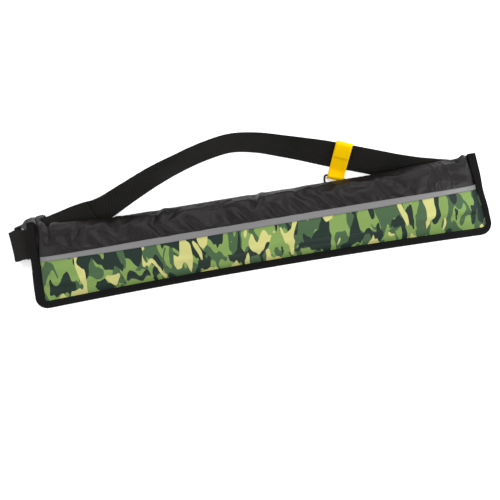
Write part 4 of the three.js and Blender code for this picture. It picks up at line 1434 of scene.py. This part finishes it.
def tab_section():
    """The middle of the tab's cloth, from its first end on the belt's face to its second end under it."""
    inner = TAB_INNER
    outer = inner + TAB["cloth"] + LAYER_GAP
    top = STRAP["width"] + TAB["room"] + TAB["cloth"] / 2
    low, high = TUNNEL["foot"] + TAB["cloth"] / 2, TUNNEL["foot"] + 1.5 * TAB["cloth"]
    round_bar = TUNNEL["radius"] + TAB["cloth"] / 2
    face = [on_belt(up, outer - eased) for up, eased in FACE_POINTS]
    over = [
        on_belt(top - TOP_TURN["below"], inner + TOP_TURN["off"]),
        on_belt(top + TOP_TURN["past"], 0),
        on_belt(top - TOP_TURN["below"], -inner),
    ]
    behind = [on_belt(up, -inner) for up in BEHIND_UPS]
    under = [(out, low + raised) for out, raised in UNDER_POINTS]
    turn = [tunnel_at + round_bar * np.array((math.cos(a), math.sin(a))) for a in TUNNEL_ANGLES]
    back = [(out, high + raised) for out, raised in RETURN_POINTS]
    front = [on_belt(up, inner) for up in FRONT_UPS]
    return [*face, *over, *behind, *under, *turn, *back, *front]


def ring_tab():
    points = tab_section()
    section = smooth_curve(points)
    line = [section(place) for place in np.linspace(0, len(points) - 1, TAB_STEPS["along"])]
    across = np.linspace(-TAB["width"] / 2, TAB["width"] / 2, TAB_STEPS["across"])
    places = [[in_tab(out, up, along) for along in across] for out, up in line]
    flat_u = run_length(line)
    piece = cloth_from_grid("ring_tab_webbing", places, flat_u, across)
    thicken(piece, TAB["cloth"], 0)
    dress(piece, yellow, "yellow_webbing", "ring_tab")


ring_tab()

# %% [markdown]
# The ring is a round wire bent to a D. Its straight side lies in the tab's tunnel and its bow rests on
# the surface. A bevelled curve would make it too, but a tube is only a sheet rolled up, so the same grid
# makes it: one side runs along the wire, the other round it, and its ends are merged.

# %% Clip ring
RING = {"wire": 1.3, "half_bar": 12, "corner": 2.5, "depth": 14, "merge": 0.001}
RING_STEPS = {"corner": 7, "bow": 41, "bar": 13, "round": 17}
ring_tilt = math.asin((tunnel_at[1] - RING["wire"] - TUNNEL["foot"]) / (RING["corner"] + RING["depth"]))


def ring_line():
    """The middle of the wire in the ring's own plane, once round."""
    half, corner = RING["half_bar"], RING["corner"]
    right = [
        (half + corner * math.sin(angle), corner * (math.cos(angle) - 1))
        for angle in np.linspace(0, math.pi / 2, RING_STEPS["corner"])[:-1]
    ]
    bow = [
        ((half + corner) * math.cos(angle), -corner - RING["depth"] * math.sin(angle))
        for angle in np.linspace(0, math.pi, RING_STEPS["bow"])
    ]
    left = [(-x, y) for x, y in reversed(right)]
    straight = [(x, 0.0) for x in np.linspace(-half, half, RING_STEPS["bar"])[1:]]
    return right + bow + left + straight


def clip_ring():
    line = [np.array(point) for point in ring_line()]
    places = []
    for i in range(len(line) + 1):
        at = line[i % len(line)]
        way = line[(i + 1) % len(line)] - line[(i - 1) % len(line)]
        side = np.array((-way[1], way[0])) / np.linalg.norm(way)
        around = []
        for angle in np.linspace(0, FULL_TURN, RING_STEPS["round"]):
            along, bow = at + side * RING["wire"] * math.cos(angle)
            rise = RING["wire"] * math.sin(angle)
            out = tunnel_at[0] + bow * math.cos(ring_tilt) - rise * math.sin(ring_tilt)
            up = tunnel_at[1] + bow * math.sin(ring_tilt) + rise * math.cos(ring_tilt)
            around.append(in_tab(out, up, along))
        places.append(around)
    piece = cloth_from_grid("clip_ring_wire", places, np.arange(len(places)), np.arange(RING_STEPS["round"]))
    closed = bmesh.new()
    closed.from_mesh(piece.data)
    bmesh.ops.remove_doubles(closed, verts=closed.verts, dist=RING["merge"] * MM)
    bmesh.ops.recalc_face_normals(closed, faces=closed.faces)
    closed.to_mesh(piece.data)
    closed.free()
    dress(piece, ring_plastic, "ring", "clip_ring")


clip_ring()

# %% [markdown]
# Stitching holds it all together. A dashed line in the finish would look flat from the side, and a full
# thread has too many faces. A stitch is a short thread that dips into the cloth at both ends, so a small
# stretched ball is enough. Each run of stitches is one piece: along the binding's lip, along both edges
# of the stripe, and across the tab.

# %% Stitches
STITCH = {"length": 2.4, "pitch": 3.2, "width": 0.6, "sides": 6, "rings": 4}
STITCH_LOOK_AHEAD = 0.5
Stitch = namedtuple("Stitch", "at way out")


def stitch_rows(name, stitches, material, slot):
    """All stitches of a run as one piece."""
    mesh = bmesh.new()
    half_length, half_width = STITCH["length"] * MM / 2, STITCH["width"] * MM / 2
    size = Matrix.Diagonal((half_length, half_width, half_width, 1))
    for stitch in stitches:
        way = Vector(stitch.way).normalized()
        out = Vector(stitch.out).normalized()
        turn = Matrix((way, out.cross(way), out)).transposed().to_4x4()
        place = Matrix.Translation(to_metres(stitch.at)) @ turn @ size
        bmesh.ops.create_uvsphere(
            mesh, u_segments=STITCH["sides"], v_segments=STITCH["rings"], radius=1, matrix=place
        )
    piece = finished(name, mesh)
    return dress(piece, material, slot)


def interpolated(places, run, values):
    """Vectors at places along a line, from those at its points."""
    return np.stack([np.interp(places, run, values[:, axis]) for axis in range(3)], axis=1)


def along_line(points, outs):
    """Stitches at an even pitch along a line of points, each with the way out of the cloth there."""
    points, outs = np.array(points), np.array(outs)
    run = run_length(points)
    places = np.arange(STITCH["pitch"], run[-1] - STITCH["pitch"], STITCH["pitch"])
    at = interpolated(places, run, points)
    after = interpolated(places + STITCH_LOOK_AHEAD, run, points)
    out = interpolated(places, run, outs)
    return [Stitch(*stitch) for stitch in zip(at, after - at, out)]


# %% Sewing it together
def binding_stitches(inside_lip=2.2):
    """One row inside the binding's front lip."""
    points = []
    for point in binding_line:
        points.append(on_binding(point, lip_reach(point) - inside_lip, TAPE_MIDDLE + TAPE / 2))
    return along_line(points, [UP] * len(points))


def stripe_stitches(share=0.82, columns=200):
    """Two rows, inside the stripe's edges."""
    places = [stripe_column(x, (-share, share)) for x in stripe_columns(columns)]
    stitches = []
    for j in range(2):
        stitches += along_line([column[j] for column in places], [UP] * len(places))
    return stitches


def tab_stitches(points_across=12):
    """One row across the tab, where it leaves the belt for the ring's tunnel."""
    out, up = on_belt(TAB["seam_up"], TAB_INNER + TAB["cloth"] / 2)
    edge = TAB["width"] / 2
    points = [in_tab(out, up, along) for along in np.linspace(-edge, edge, points_across)]
    facing = UP * math.cos(tab_tilt) - tab_x * math.sin(tab_tilt)
    return along_line(points, [facing] * len(points))


stitch_rows("binding_stitches", binding_stitches(), black_thread, "binding")
stitch_rows("stripe_stitches", stripe_stitches(), grey_thread, "reflective")
stitch_rows("tab_stitches", tab_stitches(), yellow_thread, "yellow_webbing")

# %% [markdown]
# The belt lies on a pale surface that fills the picture. A plane with a faint mottle is all it takes. It
# glows a little, so that it comes out as pale as a studio table without lamps that would bleach the
# cloth.

# %% Floor
FLOOR_GLOW = 0.3


def pale_floor(half_side=4.0):
    """The surface that the belt lies on, which isn't part of it."""
    mesh = bmesh.new()
    bmesh.ops.create_grid(mesh, x_segments=1, y_segments=1, size=half_side)
    floor = finished("pale_floor", mesh)
    material, tree, shader = new_finish("pale_floor", roughness=0.9, gloss=0.1)
    spots = place_group(tree, MOTTLE, object_coordinates(tree), Patches_per_metre=2)
    shade = mixed(tree, spots.outputs["Patch"], linear(248, 248, 248), linear(252, 252, 252))
    tree.links.new(shade, shader.inputs["Base Color"])
    shader.inputs["Emission Color"].default_value = (1, 1, 1, 1)
    shader.inputs["Emission Strength"].default_value = FLOOR_GLOW
    floor.data.materials.append(material)
    print("floor", 2 * half_side, "m wide")


pale_floor()

# %% [markdown]
# The light is a studio's: three large soft lamps round the belt, and an even white surround that fills
# the shadows. One strong lamp would draw hard shadows on the floor. The lamp behind picks out the top
# fold, and the one at the right is the strongest, as the light on the folds shows.

# %% Light
Lamp = namedtuple("Lamp", "name place size watts")
LAMPS = (
    Lamp("left_lamp", (-2.6, -1.0, 2.2), 1.6, 44),
    Lamp("right_lamp", (2.6, -0.8, 2.0), 1.6, 88),
    Lamp("back_lamp", (0.3, 2.2, 2.4), 1.8, 60),
)
SURROUND_STRENGTH = 0.6


def soft_lamp(lamp):
    """A square lamp that faces the belt."""
    data = bpy.data.lights.new(lamp.name, "AREA")
    data.size = lamp.size
    data.energy = lamp.watts
    light = bpy.data.objects.new(lamp.name, data)
    light.location = lamp.place
    light.rotation_mode = "QUATERNION"
    light.rotation_quaternion = (-Vector(lamp.place)).to_track_quat("-Z", "Y")
    bpy.context.scene.collection.objects.link(light)


for lamp in LAMPS:
    soft_lamp(lamp)

surround = bpy.data.worlds.new("even_surround")
surround.use_nodes = True
background = surround.node_tree.nodes["Background"]
background.inputs["Color"].default_value = (1, 1, 1, 1)
background.inputs["Strength"].default_value = SURROUND_STRENGTH
bpy.context.scene.world = surround
bpy.context.scene.view_settings.view_transform = "Standard"
print("lamps:", len(LAMPS))

# %% [markdown]
# The photograph was taken from high above. The camera stands at its angle, turned a little about the
# upright, and its lens gives the picture the same width.

# %% Camera
VIEW = {
    "elevation": 77,
    "swing": 9.796,
    "distance": 1050,
    "lens": 57.36,
    "sensor": 36,
    "look_at": (-17.39, 28.12, 0),
}


def photo_camera():
    """A camera at the photograph's angle."""
    elevation, swing = math.radians(VIEW["elevation"]), math.radians(VIEW["swing"])
    level = math.cos(elevation)
    forward = Vector((level * math.sin(swing), level * math.cos(swing), -math.sin(elevation)))
    data = bpy.data.cameras.new("photo_camera")
    data.lens = VIEW["lens"]
    data.sensor_width = VIEW["sensor"]
    camera = bpy.data.objects.new("photo_camera", data)
    camera.location = to_metres(VIEW["look_at"]) - forward * VIEW["distance"] * MM
    camera.rotation_mode = "QUATERNION"
    camera.rotation_quaternion = forward.to_track_quat("-Z", "Y")
    bpy.context.scene.collection.objects.link(camera)
    bpy.context.scene.camera = camera
    return camera


camera = photo_camera()
print("camera at", [round(c, 3) for c in camera.location])
